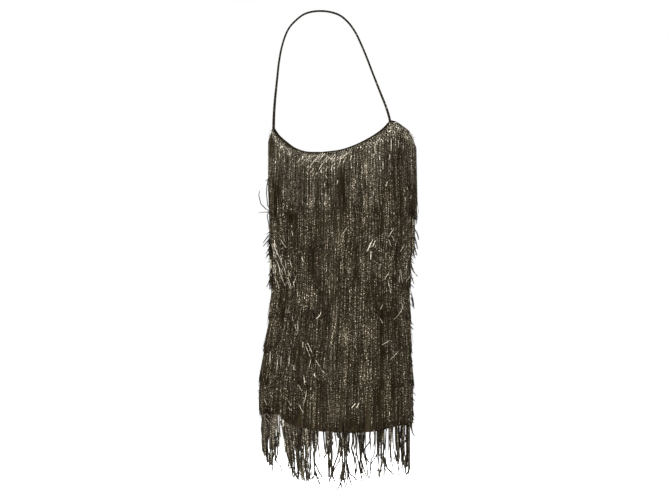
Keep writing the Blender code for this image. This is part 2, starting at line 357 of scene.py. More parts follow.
    def spread(
        self, count: int, height: float, rng: np.random.Generator,
        first: float = -180.0, last: float = 180.0, jitter: float = 0.9,
    ) -> np.ndarray:
        """Angles spaced evenly along the cloth, each a little off its place.

        Args:
            count: how many angles.
            height: the level at which they are even.
            rng: the source of the jitter.
            first: the lowest angle.
            last: the highest angle.
            jitter: the largest shift, as a share of the spacing.

        Returns:
            The angles in degrees, in rising order of their places.
        """
        marks = np.linspace(first, last, ANGLE_MARKS)
        steps = self.metres_per_degree(marks, np.full_like(marks, height))
        run = np.concatenate([[0.0], np.cumsum((steps[1:] + steps[:-1]) / 2)])
        places = np.arange(count) + 0.5 + rng.uniform(-0.5, 0.5, count) * jitter
        return np.interp(places / count * run[-1], run, marks)


FORM = DressForm()


def smooth_route(route: tuple, stations: int, lift: float) -> np.ndarray:
    """Reads evenly spaced points along a smooth line laid on the dress.

    Args:
        route: rows of an angle, a depth below the neck in millimetres and, where it
            differs from the usual one, a lift in millimetres.
        stations: how many points.
        lift: the usual lift in metres.

    Returns:
        An array of points.
    """
    rows = np.array([(*row, lift / MM)[:3] for row in route], float)
    steps = np.hypot(np.diff(rows[:, 0]) * ROUTE_DEGREE, np.diff(rows[:, 1]))
    keys = np.concatenate([[0.0], np.cumsum(steps)])
    along = np.linspace(0.0, keys[-1], stations)
    angles, depths, lifts = (smooth_table(keys, rows[:, axis], along) for axis in range(3))
    return FORM.points(angles, -depths * MM, lifts * MM)


@dataclass(frozen=True)
class Patch:
    """A soft-edged place on the fringe with painted light: a painted highlight where the gain is positive,
    painted shade where it is negative.

    The depth is in millimetres below the neck, and so is its half size.
    """

    angle: float
    depth: float
    half_angle: float
    half_depth: float
    gain: float


@dataclass(frozen=True)
class PaintedLightPatches:
    """Painted highlights and painted shade over the fringe: lit locks, and dark, calm places."""

    # Painted highlights on locks that catch the light from the neck to the hem, then calm places of painted
    # shade, where the painted glints go out and only plain yarn shows
    patches: tuple = (
        Patch(-8, 414, 2.4, 20, 0.60),
        Patch(5, 414, 3.0, 32, 0.56),
        Patch(-3, 381, 1.4, 10, 0.40),
        Patch(34, 344, 2.8, 22, 0.56),
        Patch(34.5, 402, 2.2, 16, 0.48),
        Patch(34, 435, 2.2, 20, 0.32),
        Patch(44, 398, 2.2, 16, 0.36),
        Patch(15, 487, 4.0, 23, 0.40),
        Patch(-14, 481, 3.0, 18, 0.40),
        Patch(-9, 568, 2.6, 30, 0.40),
        Patch(9, 562, 4.0, 20, 0.44),
        Patch(-7.5, 600, 2.6, 20, 0.32),
        Patch(12, 636, 3.2, 36, 0.36),
        Patch(20, 663, 4.0, 20, 0.44),
        Patch(39, 663, 3.0, 18, 0.32),
        Patch(22, 744, 2.0, 30, 0.40),
        Patch(35, 739, 3.6, 26, 0.40),
        Patch(-1, 816, 3.6, 38, 0.40),
        Patch(17.5, 816, 5.5, 22, 0.36),
        Patch(77, 275, 5.0, 8, 0.48),
        Patch(56, 238, 22.0, 24, 0.24),
        Patch(-58, 272, 13.0, 34, -0.34),
        Patch(92, 332, 12.0, 66, -0.24),
        Patch(-46, 394, 10.0, 40, -0.40),
        Patch(-26, 432, 6.0, 14, -0.30),
        Patch(-9, 426, 6.5, 16, -0.34),
        Patch(3, 430, 5.5, 12, -0.28),
        Patch(20, 376, 4.5, 28, -0.34),
        Patch(45, 428, 6.0, 12, -0.30),
        Patch(60, 394, 8.0, 40, -0.36),
        Patch(82, 410, 8.0, 66, -0.16),
        Patch(-9, 530, 6.0, 12, -0.26),
        Patch(30, 552, 6.0, 18, -0.28),
        Patch(-46, 592, 9.0, 28, -0.36),
        Patch(-44, 650, 9.0, 24, -0.20),
        Patch(58, 642, 9.0, 42, -0.36),
        Patch(50, 718, 11.0, 26, -0.38),
        Patch(54, 774, 13.0, 44, -0.42),
        Patch(-46, 752, 10.0, 26, -0.34),
        Patch(-30, 775, 12.0, 34, -0.24),
        Patch(26, 500, 8.0, 24, -0.22),
        Patch(-12, 836, 9.0, 12, -0.23),
        Patch(35, 838, 16.0, 10, -0.23),
    )
    # Painted shade down both sides of the dress, where the fringe turns away
    edge_shades: tuple = (-72.0, 110.0)
    edge_width: float = 12.0
    edge_gain: float = -0.36

    def at(self, angles: np.ndarray, heights: np.ndarray) -> np.ndarray:
        """Adds up the painted highlights and painted shade at points of the fringe.

        Args:
            angles: angles round the body.
            heights: heights of the same points.

        Returns:
            A gain for each point.
        """
        total = np.zeros(np.broadcast(angles, heights).shape)
        for patch in self.patches:
            across = signed_angle(angles - patch.angle) / patch.half_angle
            down = (-heights / MM - patch.depth) / patch.half_depth
            total += patch.gain * np.exp(-(across**2 + down**2) ** 2)
        for edge in self.edge_shades:
            across = signed_angle(angles - edge) / self.edge_width
            total += self.edge_gain * np.exp(-across**4)
        return total


PAINTED_LIGHT_PATCHES = PaintedLightPatches()


def deselect() -> None:
    """Leaves object mode ready for a new primitive, with nothing selected."""
    bpy.ops.object.select_all(action="DESELECT")


def make_active(piece: bpy.types.Object) -> None:
    """Selects one object alone and makes it active."""
    deselect()
    piece.select_set(True)
    bpy.context.view_layer.objects.active = piece


def apply_modifier(piece: bpy.types.Object, kind: str, **settings: float) -> None:
    """Adds a modifier to a piece and applies it.

    Args:
        piece: the piece.
        kind: the modifier's type.
        settings: the modifier's values by name.
    """
    make_active(piece)
    modifier = piece.modifiers.new(kind.lower(), kind)
    for name, value in settings.items():
        setattr(modifier, name, value)
    bpy.ops.object.modifier_apply(modifier=modifier.name)


def corner_places(piece: bpy.types.Object) -> np.ndarray:
    """Reads the places of a piece's corners.

    Args:
        piece: the piece.

    Returns:
        An array of points.
    """
    return np.array([vertex.co for vertex in piece.data.vertices])


def wrap_piece(piece: bpy.types.Object, corners: np.ndarray, flat: np.ndarray) -> None:
    """Moves a primitive's corners on to the dress and lays out its UV map.

    Args:
        piece: the primitive.
        corners: the new place of each corner.
        flat: the UV place of each corner, in metres of cloth.
    """
    piece.data.vertices.foreach_set("co", corners.astype(np.float32).ravel())
    layer = piece.data.uv_layers[0]
    layer.name = UV_NAME
    owner = np.array([loop.vertex_index for loop in piece.data.loops])
    layer.data.foreach_set("uv", flat[owner].astype(np.float32).ravel())
    piece.data.update()


class StrandTemplate:
    """One thin closed tube, modelled once and laid along every path of a bundle."""

    def __init__(self, stations: int, sides: int) -> None:
        """Models the tube as a capped primitive cut across at each station.

        Args:
            stations: rings along the tube, its two ends among them.
            sides: faces round the tube.
        """
        deselect()
        bpy.ops.mesh.primitive_cylinder_add(
            vertices=sides, radius=1.0, depth=1.0, end_fill_type="NGON", location=(0, 0, 0.5)
        )
        tube = bpy.context.object
        bpy.ops.object.mode_set(mode="EDIT")
        for index in range(1, stations - 1):
            bpy.ops.mesh.select_all(action="SELECT")
            bpy.ops.mesh.bisect(plane_co=(0, 0, index / (stations - 1)), plane_no=(0, 0, 1))
        bpy.ops.object.mode_set(mode="OBJECT")
        bpy.ops.object.transform_apply(location=True)
        corners = corner_places(tube)
        self.station = np.rint(corners[:, 2] * (stations - 1)).astype(int)
        self.turn = np.arctan2(corners[:, 1], corners[:, 0])
        self.loops = np.concatenate([list(face.vertices) for face in tube.data.polygons])
        self.face_sizes = np.array([len(face.vertices) for face in tube.data.polygons])
        bpy.data.meshes.remove(tube.data)

    def lay(
        self, name: str, paths: np.ndarray, radii: np.ndarray, tones: np.ndarray,
        outward: Optional[np.ndarray] = None, painted_light: Optional[np.ndarray] = None,
    ) -> bpy.types.Object:
        """Lays a copy of the tube along each path and joins them in one mesh.

        Args:
            name: the new piece's name.
            paths: points of the paths, by strand and station.
            radii: the tubes' radii, by strand and station.
            tones: a number from 0, dark, to 1, light, for each strand.
            outward: directions that the tubes' first side faces, or None for away
                from the body's axis.
            painted_light: the painted light on the yarn, by strand and station; where it is negative it is
                painted shade.

        Returns:
            The piece, with the tone and the length along each strand in its UV map.
        """
        count = len(paths)
        tangents = np.gradient(paths, axis=1)
        tangents /= np.linalg.norm(tangents, axis=-1, keepdims=True)
        if outward is None:
            outward = paths - np.array([FORM.axis_x, FORM.axis_y, 0.0])
            outward = outward * np.array([1.0, 1.0, 0.0])
        across = np.cross(tangents, outward)
        across /= np.linalg.norm(across, axis=-1, keepdims=True)
        up = np.cross(across, tangents)
        station = self.station
        radius = radii[:, station, None]
        corners = paths[:, station] + radius * (
            np.cos(self.turn)[None, :, None] * up[:, station]
            + np.sin(self.turn)[None, :, None] * across[:, station]
        )
        per = len(station)
        loops = (self.loops[None, :] + per * np.arange(count)[:, None]).ravel()
        sizes = np.tile(self.face_sizes, count)
        mesh = bpy.data.meshes.new(name)
        mesh.vertices.add(count * per)
        mesh.vertices.foreach_set("co", corners.astype(np.float32).ravel())
        mesh.loops.add(len(loops))
        mesh.loops.foreach_set("vertex_index", loops.astype(np.int32))
        mesh.polygons.add(len(sizes))
        starts = np.concatenate([[0], np.cumsum(sizes)[:-1]])
        mesh.polygons.foreach_set("loop_start", starts.astype(np.int32))
        mesh.update(calc_edges=True)
        steps = np.linalg.norm(np.diff(paths, axis=1), axis=-1)
        along = np.concatenate([np.zeros((count, 1)), np.cumsum(steps, axis=1)], axis=1)
        layer = mesh.uv_layers.new(name=UV_NAME)
        shade = np.repeat(tones[:, None], len(self.loops), axis=1)
        length = along[:, station[self.loops]]
        layer.data.foreach_set("uv", np.stack([shade, length], -1).astype(np.float32).ravel())
        if painted_light is not None:
            values = painted_light[:, station].astype(np.float32).ravel()
            mesh.attributes.new(PAINTED_LIGHT_NAME, "FLOAT", "POINT").data.foreach_set("value", values)
        mesh.shade_smooth()
        piece = bpy.data.objects.new(name, mesh)
        bpy.context.scene.collection.objects.link(piece)
        return piece


class NodeSheet:
    """A small helper that adds nodes to a node tree and joins them."""

    def __init__(self, tree: bpy.types.NodeTree) -> None:
        """Keeps the tree to work on."""
        self.tree = tree

    def add(self, kind: str, links: Optional[dict] = None, **values: object) -> bpy.types.Node:
        """Adds a node.

        Args:
            kind: the node's type.
            links: an output socket or a constant for each input's name or index.
            values: attributes of the node.

        Returns:
            The node.
        """
        node = self.tree.nodes.new(kind)
        for name, value in values.items():
            setattr(node, name, value)
        for key, value in (links or {}).items():
            if isinstance(value, bpy.types.NodeSocket):
                self.tree.links.new(value, node.inputs[key])
            else:
                node.inputs[key].default_value = value
        return node

    def math(
        self, operation: str, first: object, second: object = 0.0, clamp: bool = False
    ) -> bpy.types.NodeSocket:
        """Adds a Math node.

        Args:
            operation: the node's operation.
            first: a socket or a number.
            second: a socket or a number.
            clamp: whether the result stays between 0 and 1.

        Returns:
            The result's socket.
        """
        inputs = {0: first, 1: second}
        node = self.add("ShaderNodeMath", inputs, operation=operation, use_clamp=clamp)
        return node.outputs[0]

    def ramp(
        self, value: object, low: float, high: float, start: float = 0.0, end: float = 1.0
    ) -> bpy.types.NodeSocket:
        """Adds a Map Range node.

        Args:
            value: a socket.
            low: the result where the value is at the start or before it.
            high: the result where the value is at the end or past it.
            start: the value at which the ramp starts.
            end: the value at which it ends.

        Returns:
            The result's socket.
        """
        node = self.add("ShaderNodeMapRange", {0: value, 1: start, 2: end, 3: low, 4: high})
        return node.outputs[0]

    def mix(self, factor: object, first: object, second: object) -> bpy.types.NodeSocket:
        """Adds a colour mix.

        Args:
            factor: how much of the second colour shows.
            first: a socket or a colour.
            second: a socket or a colour.

        Returns:
            The mixed colour's socket.
        """
        node = self.add("ShaderNodeMix", {0: factor, 6: first, 7: second}, data_type="RGBA")
        return node.outputs[2]


def new_material(name: str) -> tuple[bpy.types.Material, NodeSheet, bpy.types.Node]:
    """Makes a material with a Principled shader of its own.

    Args:
        name: the material's name.

    Returns:
        The material, its sheet and its shader.
    """
    material = bpy.data.materials.new(name)
    material.use_nodes = True
    shader = material.node_tree.nodes["Principled BSDF"]
    return material, NodeSheet(material.node_tree), shader


def new_group(name: str, inputs: dict[str, tuple], outputs: dict[str, str]) -> NodeSheet:
    """Makes an empty shader node group.

    Args:
        name: the group's name.
        inputs: socket type and default value for each input's name.
        outputs: socket type for each output's name.

    Returns:
        The group's sheet, whose first two nodes are its input and its output.
    """
    tree = bpy.data.node_groups.new(name, "ShaderNodeTree")
    for label, (kind, value) in inputs.items():
        socket = tree.interface.new_socket(label, in_out="INPUT", socket_type=kind)
        if value is not None:
            socket.default_value = value
    for label, kind in outputs.items():
        tree.interface.new_socket(label, in_out="OUTPUT", socket_type=kind)
    sheet = NodeSheet(tree)
    sheet.add("NodeGroupInput")
    sheet.add("NodeGroupOutput")
    return sheet


def glint_group() -> bpy.types.NodeTree:
    """Makes the group for the bright beads of a chain-stitched metallic yarn, the places where the yarn's
    materials paint glints.

    Returns:
        The group, which reads a strand's own coordinates, the tone across and the length
        along, and gives a bead mask and the yarn's soft unevenness.
    """
    sheet = new_group(
        "yarn_glints",
        {
            "Strand": ("NodeSocketVector", None),
            "Bead Pitch": ("NodeSocketFloat", 0.0046),
            "Bead Share": ("NodeSocketFloat", 0.52),
            "Bead Edge": ("NodeSocketFloat", 3.0),
            "Sparkle": ("NodeSocketFloat", 1.6),
            "Strand Lanes": ("NodeSocketFloat", 613.0),
            "Drift Scale": ("NodeSocketFloat", 60.0),
            "Drift": ("NodeSocketFloat", 5.4),
        },
        {"Bead": "NodeSocketFloat", "Uneven": "NodeSocketFloat"},
    )
    source, target = sheet.tree.nodes[:2]
    split = sheet.add("ShaderNodeSeparateXYZ", {0: source.outputs["Strand"]})
    lane = sheet.math("MULTIPLY", split.outputs[0], source.outputs["Strand Lanes"])
    slow = sheet.math("MULTIPLY", split.outputs[1], source.outputs["Drift Scale"])
    place = sheet.add("ShaderNodeCombineXYZ", {0: lane, 1: slow})
    soft = sheet.add("ShaderNodeTexNoise", {"Vector": place.outputs[0], "Scale": 1.0, "Detail": 2.0})
    turns = sheet.math("DIVIDE", split.outputs[1], source.outputs["Bead Pitch"])
    drift = sheet.math("MULTIPLY", soft.outputs["Fac"], source.outputs["Drift"])
    run = sheet.math("ADD", turns, drift)
    cell = sheet.add(
        "ShaderNodeCombineXYZ", {0: sheet.math("FLOOR", lane), 1: sheet.math("FLOOR", run)}
    )
    own = sheet.add("ShaderNodeTexWhiteNoise", {"Vector": cell.outputs[0]}, noise_dimensions="2D")
    bright = sheet.math("POWER", own.outputs["Value"], source.outputs["Sparkle"])
    middle = sheet.math("PINGPONG", run, 0.5)
    gap = sheet.math("MULTIPLY", sheet.math("SUBTRACT", 1.0, source.outputs["Bead Share"]), 0.5)
    raised = sheet.math("MULTIPLY", sheet.math("SUBTRACT", middle, gap), 2.0)
    shape = sheet.math("MULTIPLY", raised, source.outputs["Bead Edge"], clamp=True)
    bead_glint = sheet.math("MULTIPLY", shape, bright)
    sheet.tree.links.new(bead_glint, target.inputs["Bead"])
    sheet.tree.links.new(soft.outputs["Fac"], target.inputs["Uneven"])
    return sheet.tree


def light_streak_group() -> bpy.types.NodeTree:
    """Makes the group for broad upright streaks of painted light and shade over the whole dress.

    Returns:
        The group, which reads Object coordinates and gives a streak value.
    """
    sheet = new_group(
        "painted_light_streaks",
        {
            "Width Scale": ("NodeSocketFloat", 66.0),
            "Height Scale": ("NodeSocketFloat", 9.0),
            "Contrast": ("NodeSocketFloat", 2.6),
        },
        {"Streak": "NodeSocketFloat"},
    )
    source, target = sheet.tree.nodes[:2]
    place = sheet.add("ShaderNodeTexCoord")
    split = sheet.add("ShaderNodeSeparateXYZ", {0: place.outputs["Object"]})
    wide = source.outputs["Width Scale"]
    tall = source.outputs["Height Scale"]
    vector = sheet.add(
        "ShaderNodeCombineXYZ",
        {
            0: sheet.math("MULTIPLY", split.outputs[0], wide),
            1: sheet.math("MULTIPLY", split.outputs[1], wide),
            2: sheet.math("MULTIPLY", split.outputs[2], tall),
        },
    )
    noise = sheet.add(
        "ShaderNodeTexNoise", {"Vector": vector.outputs[0], "Scale": 1.0, "Detail": 2.5}
    )
    centred = sheet.math("SUBTRACT", noise.outputs["Fac"], 0.5)
    spread = sheet.math("MULTIPLY", centred, source.outputs["Contrast"])
    value = sheet.math("ADD", spread, 0.5, clamp=True)
    sheet.tree.links.new(value, target.inputs["Streak"])
    return sheet.tree


@dataclass(frozen=True)
class YarnFinish:
    """Metallic yarn: dark strands, and paler ones whose stitches catch the light, all painted lighter or
    darker by a painted light level, with painted glints on the paler ones' stitches.
    """

    name: str

    # Colours of plain dark yarn, plain light yarn, pale yarn where it is painted fully lit, and the painted
    # glints on its metallic beads
    dark: tuple
    mid: tuple
    pale: tuple
    bead_glint: tuple
    bead_share: float = 0.46
    glint_gain: float = 2.05

    # Painted light: how lit the yarn is painted before streaks, how much the painted light streaks add, how
    # much of its tone plain yarn keeps where it is painted unlit, and how even it stays
    level: float = 0.15
    light_streak_share: float = 0.75
    steady: float = 0.6
    evenness: float = 0.45

    # The tone round which a strand turns pale, and how lit a plain one still is
    pale_tone: float = 0.60
    pale_before: float = 0.05
    pale_after: float = 0.25
    plain_lit: float = 0.13
    # How much the painted highlight and painted shade patches lift the tone
    painted_light_tone: float = 0.6
    # Painted light near the roots, and the length over which it fades
    root_painted_light: float = 0.0
    root_painted_light_length: float = 0.045
    roughness: float = 0.50
    bead_roughness: float = 0.34
    metallic: float = 0.15
    bead_metallic: float = 0.55
    specular: float = 0.02
    tint: tuple = (1.0, 0.72, 0.38)

    def material(self, glints: bpy.types.NodeTree, streaks: bpy.types.NodeTree) -> bpy.types.Material:
        """Builds the material.

        Args:
            glints: the group for beads.
            streaks: the group for broad streaks of painted light and shade.

        Returns:
            The material.
        """
        material, sheet, shader = new_material(self.name)
        uv = sheet.add("ShaderNodeUVMap", uv_map=UV_NAME)
        own_tone, along = sheet.add("ShaderNodeSeparateXYZ", {0: uv.outputs[0]}).outputs[:2]
        # Painted light: the light painted near the roots, the painted highlight and shade patches and the
        # painted light streaks set how lit the yarn is painted
        near_root = sheet.ramp(along, self.root_painted_light, 0.0, end=self.root_painted_light_length)
        patch = sheet.add("ShaderNodeAttribute", attribute_name=PAINTED_LIGHT_NAME).outputs["Fac"]
        extra = sheet.math("ADD", near_root, patch)
        streak = sheet.add("ShaderNodeGroup", node_tree=streaks).outputs["Streak"]
        broad = sheet.math("MULTIPLY", streak, self.light_streak_share)
        lifted = sheet.math("ADD", sheet.math("ADD", broad, self.level), extra)
        level = sheet.add("ShaderNodeClamp", {0: lifted}).outputs[0]

        # Painted highlights and painted shade both lift the tone, so that in a calm place of painted shade
        # the dark strands read as plain brown yarn
        change = sheet.math("MULTIPLY", sheet.math("ABSOLUTE", extra), self.painted_light_tone)
        tone = sheet.math("ADD", own_tone, change)
        pale_start = self.pale_tone - self.pale_before
        pale = sheet.ramp(tone, 0.0, 1.0, pale_start, self.pale_tone + self.pale_after)
        glint = sheet.add(
            "ShaderNodeGroup", {"Bead Share": self.bead_share, "Strand": uv.outputs[0]},
            node_tree=glints,
        )
        uneven = sheet.math("ADD", glint.outputs["Uneven"], self.evenness)
        # Painted shade: plain yarn is darker where it is painted less lit
        steady = sheet.ramp(level, self.steady, 1.0)
        shade = sheet.math("MULTIPLY", sheet.math("MULTIPLY", steady, tone), uneven, clamp=True)
        plain = sheet.mix(shade, (*self.dark, 1), (*self.mid, 1))
        # Pale yarn and its glints show as far as the yarn is painted lit
        some = sheet.ramp(pale, self.plain_lit, 1.0)
        lit = sheet.math("MULTIPLY", some, sheet.math("MULTIPLY", level, uneven))
        drawn = sheet.mix(lit, plain, (*self.pale, 1))
        # Painted glints: the metallic beads take the glint colour, less roughness and more metal, as far as
        # the yarn is painted lit
        strength = sheet.math("MULTIPLY", lit, self.glint_gain)
        painted_glint = sheet.math("MULTIPLY", glint.outputs["Bead"], strength, clamp=True)
        links = sheet.tree.links
        links.new(sheet.mix(painted_glint, drawn, (*self.bead_glint, 1)), shader.inputs["Base Color"])
        links.new(sheet.ramp(painted_glint, self.roughness, self.bead_roughness), shader.inputs["Roughness"])
        links.new(sheet.ramp(painted_glint, self.metallic, self.bead_metallic), shader.inputs["Metallic"])
        shader.inputs["Specular IOR Level"].default_value = self.specular
        shader.inputs["Specular Tint"].default_value = (*self.tint, 1)
        return material


@dataclass(frozen=True)
class KnitFinish:
    """Fine dark metallic knit with upright ribs of small stitches."""

    name: str
    dark: tuple
    mid: tuple
    roughness: float = 0.65
    metallic: float = 0.10
    specular: float = 0.03
    rib_scale: float = 900.0
    course_scale: float = 620.0
    relief_shading: float = 0.45
    light_streak_share: float = 0.5
    bump: float = 0.35
    bump_depth: float = 0.0003

    def material(self, streaks: bpy.types.NodeTree) -> bpy.types.Material:
        """Builds the material.

        Args:
            streaks: the group for broad streaks of painted light and shade.

        Returns:
            The material.
        """
        material, sheet, shader = new_material(self.name)
        uv = sheet.add("ShaderNodeUVMap", uv_map=UV_NAME)
        across, up = sheet.add("ShaderNodeSeparateXYZ", {0: uv.outputs[0]}).outputs[:2]
        rib = sheet.math("SINE", sheet.math("MULTIPLY", across, self.rib_scale))
        course = sheet.math("SINE", sheet.math("MULTIPLY", up, self.course_scale))
        relief = sheet.math("ADD", rib, sheet.math("MULTIPLY", rib, course))
        # Painted shade in the hollows between the ribs, painted light on the raised ribs, and the painted
        # light streaks
        lifted = sheet.ramp(relief, 0.0, self.relief_shading, -2.0, 2.0)
        streak = sheet.add("ShaderNodeGroup", node_tree=streaks).outputs["Streak"]
        shade = sheet.math("ADD", lifted, sheet.math("MULTIPLY", streak, self.light_streak_share))
        colour = sheet.mix(shade, (*self.dark, 1), (*self.mid, 1))
        bump = sheet.add(
            "ShaderNodeBump",
            {"Height": relief, "Strength": self.bump, "Distance": self.bump_depth},
        )
        sheet.tree.links.new(colour, shader.inputs["Base Color"])
        sheet.tree.links.new(bump.outputs[0], shader.inputs["Normal"])
        shader.inputs["Roughness"].default_value = self.roughness
        shader.inputs["Metallic"].default_value = self.metallic
        shader.inputs["Specular IOR Level"].default_value = self.specular
        return material


class Finishes:
    """Every material of the dress, built once."""

    def __init__(self) -> None:
        """Builds the shared groups and the materials."""
        glints = glint_group()
        streaks = light_streak_group()
        self.fringe = YarnFinish(
            "bronze_yarn",
            dark=(0.0022, 0.0013, 0.0004),
            mid=(0.0245, 0.0175, 0.0080),
            pale=(0.050, 0.039, 0.023),
            bead_glint=(0.90, 0.80, 0.61),
        ).material(glints, streaks)
        # The edge yarn: paler yarn and brighter glints than the fringe yarn, and painted light near the
        # roots
        self.top = YarnFinish(
            "painted_lit_edge_yarn",
            dark=(0.0022, 0.0014, 0.0005),
            mid=(0.028, 0.0208, 0.0102),
            pale=(0.105, 0.088, 0.058),
            bead_glint=(1.0, 0.92, 0.76),
            root_painted_light=0.24,
            root_painted_light_length=0.060,
        ).material(glints, streaks)
        self.stitch = YarnFinish(
            "edge_stitch_yarn",
            dark=(0.006, 0.005, 0.003),
            mid=(0.16, 0.14, 0.100),
            pale=(0.34, 0.305, 0.23),
            bead_glint=(1.0, 0.94, 0.78),
            bead_share=0.8,
            level=0.4,
        ).material(glints, streaks)
        self.hem = YarnFinish(
            "dark_yarn",
            dark=(0.0014, 0.0009, 0.0004),
            mid=(0.013, 0.0098, 0.0054),
            pale=(0.085, 0.073, 0.053),
            bead_glint=(0.62, 0.55, 0.43),
        ).material(glints, streaks)
        self.pale = YarnFinish(
            "pale_metal_yarn",
            dark=(0.10, 0.085, 0.060),
            mid=(0.24, 0.21, 0.155),
            pale=(0.42, 0.38, 0.29),
            bead_glint=(0.85, 0.79, 0.65),
            bead_share=0.8,
            level=0.5,
            pale_tone=0.2,
        ).material(glints, streaks)
        self.cord = YarnFinish(
            "twisted_cord_yarn",
            dark=(0.0018, 0.0014, 0.0008),
            mid=(0.011, 0.0085, 0.0052),
            pale=(0.036, 0.030, 0.021),
            bead_glint=(0.16, 0.14, 0.105),
        ).material(glints, streaks)
        self.knit = KnitFinish(
            "dark_metallic_knit", dark=(0.0100, 0.0070, 0.0034), mid=(0.0300, 0.0222, 0.0112)
        ).material(streaks)
        self.tape = KnitFinish(
            "dark_binding_tape",
            dark=(0.0022, 0.0016, 0.0009),
            mid=(0.009, 0.0068, 0.0040),
            rib_scale=2600.0,
            course_scale=1500.0,
        ).material(streaks)


def dress_piece(
    piece: bpy.types.Object, material: bpy.types.Material, slot: Slot, *nodes: str
) -> bpy.types.Object:
    """Gives a piece its material, body and the nodes that it stands for.

    Args:
        piece: the finished piece.
        material: its material.
        slot: not used.
        nodes: the CAD nodes that it replaces.

    Returns:
        The piece.
    """
    piece.data.materials.clear()
    piece.data.materials.append(material)
    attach(piece, BODY)
    if nodes:
        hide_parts(*nodes)
    return piece


@dataclass
class KnitPanels:
    """The front and back knit panels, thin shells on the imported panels' form."""

    thickness: float = 0.0014
    columns: int = 90
    rows: int = 90
    seam_gap: float = 0.0005
    side_angle: float = 90.0
    areas: dict = field(default_factory=lambda: {"front": 0.226, "back": 0.206})

    def panel(self, name: str, first: float, last: float, shift: float) -> bpy.types.Object:
        """Models one panel from a grid laid on the form.

        Args:
            name: the piece's name.
            first: the angle of its first side seam.
            last: the angle of its last side seam.
            shift: how far the seam gap moves it along Y.

        Returns:
            The piece.
        """
        deselect()
        bpy.ops.mesh.primitive_grid_add(
            x_subdivisions=self.columns, y_subdivisions=self.rows, size=1.0
        )
        piece = bpy.context.object
        piece.name = piece.data.name = name
        places = corner_places(piece)
        angles = first + (last - first) * (places[:, 0] + 0.5)
        low = FORM.hem(angles)
        heights = low + (FORM.top(angles) - low) * (places[:, 1] + 0.5)
        corners = FORM.points(angles, heights, np.zeros_like(heights))
        corners[:, 1] += shift
        per_degree = FORM.metres_per_degree(angles, heights).mean()
        wrap_piece(piece, corners, np.stack([angles * per_degree, heights], -1))
        apply_modifier(piece, "SOLIDIFY", thickness=self.thickness, offset=-1.0)
        bpy.ops.object.shade_smooth()
        return piece

    def build(self, finishes: Finishes) -> list[bpy.types.Object]:
        """Args:
            finishes: the materials.

        Returns:
            The two pieces.
        """
        half = self.side_angle
        front = self.panel("knit_front", -half, half, -self.seam_gap / 2)
        back = self.panel("knit_back", half, 360.0 - half, self.seam_gap / 2)
        dress_piece(front, finishes.knit, Slot.KNIT, "front_panel")
        dress_piece(back, finishes.knit, Slot.KNIT, "back_panel")
        return [front, back]


@dataclass
class HeaderTapes:
    """The narrow strips that carry the fringe, one for each tier and one for the hem."""

    tier_tops: tuple
    depth: float = 0.011
    thickness: float = 0.0007
    lift: float = 0.0004
    edge_drop: float = 0.0015
    hem_rise: float = 0.0145
    hem_depth: float = 0.0150
    hem_thickness: float = 0.0012
    mean_radius: float = 0.13
    columns: int = 120

    def strip(self, name: str, tops: np.ndarray, bottoms: np.ndarray, thickness: float) -> bpy.types.Object:
        """Models one closed strip round the body from an open cylinder.

        Args:
            name: the piece's name.
            tops: the strip's upper height for each column.
            bottoms: its lower height for each column.
            thickness: how thick it is.

        Returns:
            The piece.
        """
        deselect()
        bpy.ops.mesh.primitive_cylinder_add(
            vertices=self.columns, radius=1.0, depth=1.0, end_fill_type="NOTHING"
        )
        piece = bpy.context.object
        piece.name = piece.data.name = name
        places = corner_places(piece)
        turns = np.degrees(np.arctan2(places[:, 0], -places[:, 1]))
        column = np.rint(turns / 360.0 * self.columns).astype(int) % self.columns
        heights = np.where(places[:, 2] > 0, tops[column], bottoms[column])
        corners = FORM.points(turns, heights, np.full_like(heights, self.lift))
        flat = np.stack([np.radians(turns) * self.mean_radius, heights], -1)
        wrap_piece(piece, corners, flat)
        apply_modifier(piece, "SOLIDIFY", thickness=thickness, offset=1.0)
        bpy.ops.object.shade_smooth_by_angle()
        return piece

    def build(self, finishes: Finishes) -> list[bpy.types.Object]:
        """Builds the tiers' tapes as one piece and the hem's as another.

        Args:
            finishes: the materials.

        Returns:
            The pieces.
        """
        angles = np.arange(self.columns) * 360.0 / self.columns
        level = np.ones(self.columns)
        strips = [
            self.strip(f"tape_{index}", level * top, level * (top - self.depth), self.thickness)
            for index, top in enumerate(self.tier_tops)
        ]
        edge = FORM.top(angles) - self.edge_drop
        strips.append(self.strip("tape_edge", edge, edge - self.depth, self.thickness))
        deselect()
        for strip in strips:
            strip.select_set(True)
        bpy.context.view_layer.objects.active = strips[0]
        bpy.ops.object.join()
        tapes = bpy.context.object
        tapes.name = tapes.data.name = "header_tapes"
        dress_piece(tapes, finishes.tape, Slot.FRINGE)
        top = FORM.hem(angles) + self.hem_rise
        hem = self.strip("hem_tape", top, top - self.hem_depth, self.hem_thickness)
        dress_piece(hem, finishes.knit, Slot.KNIT)
        return [tapes, hem]


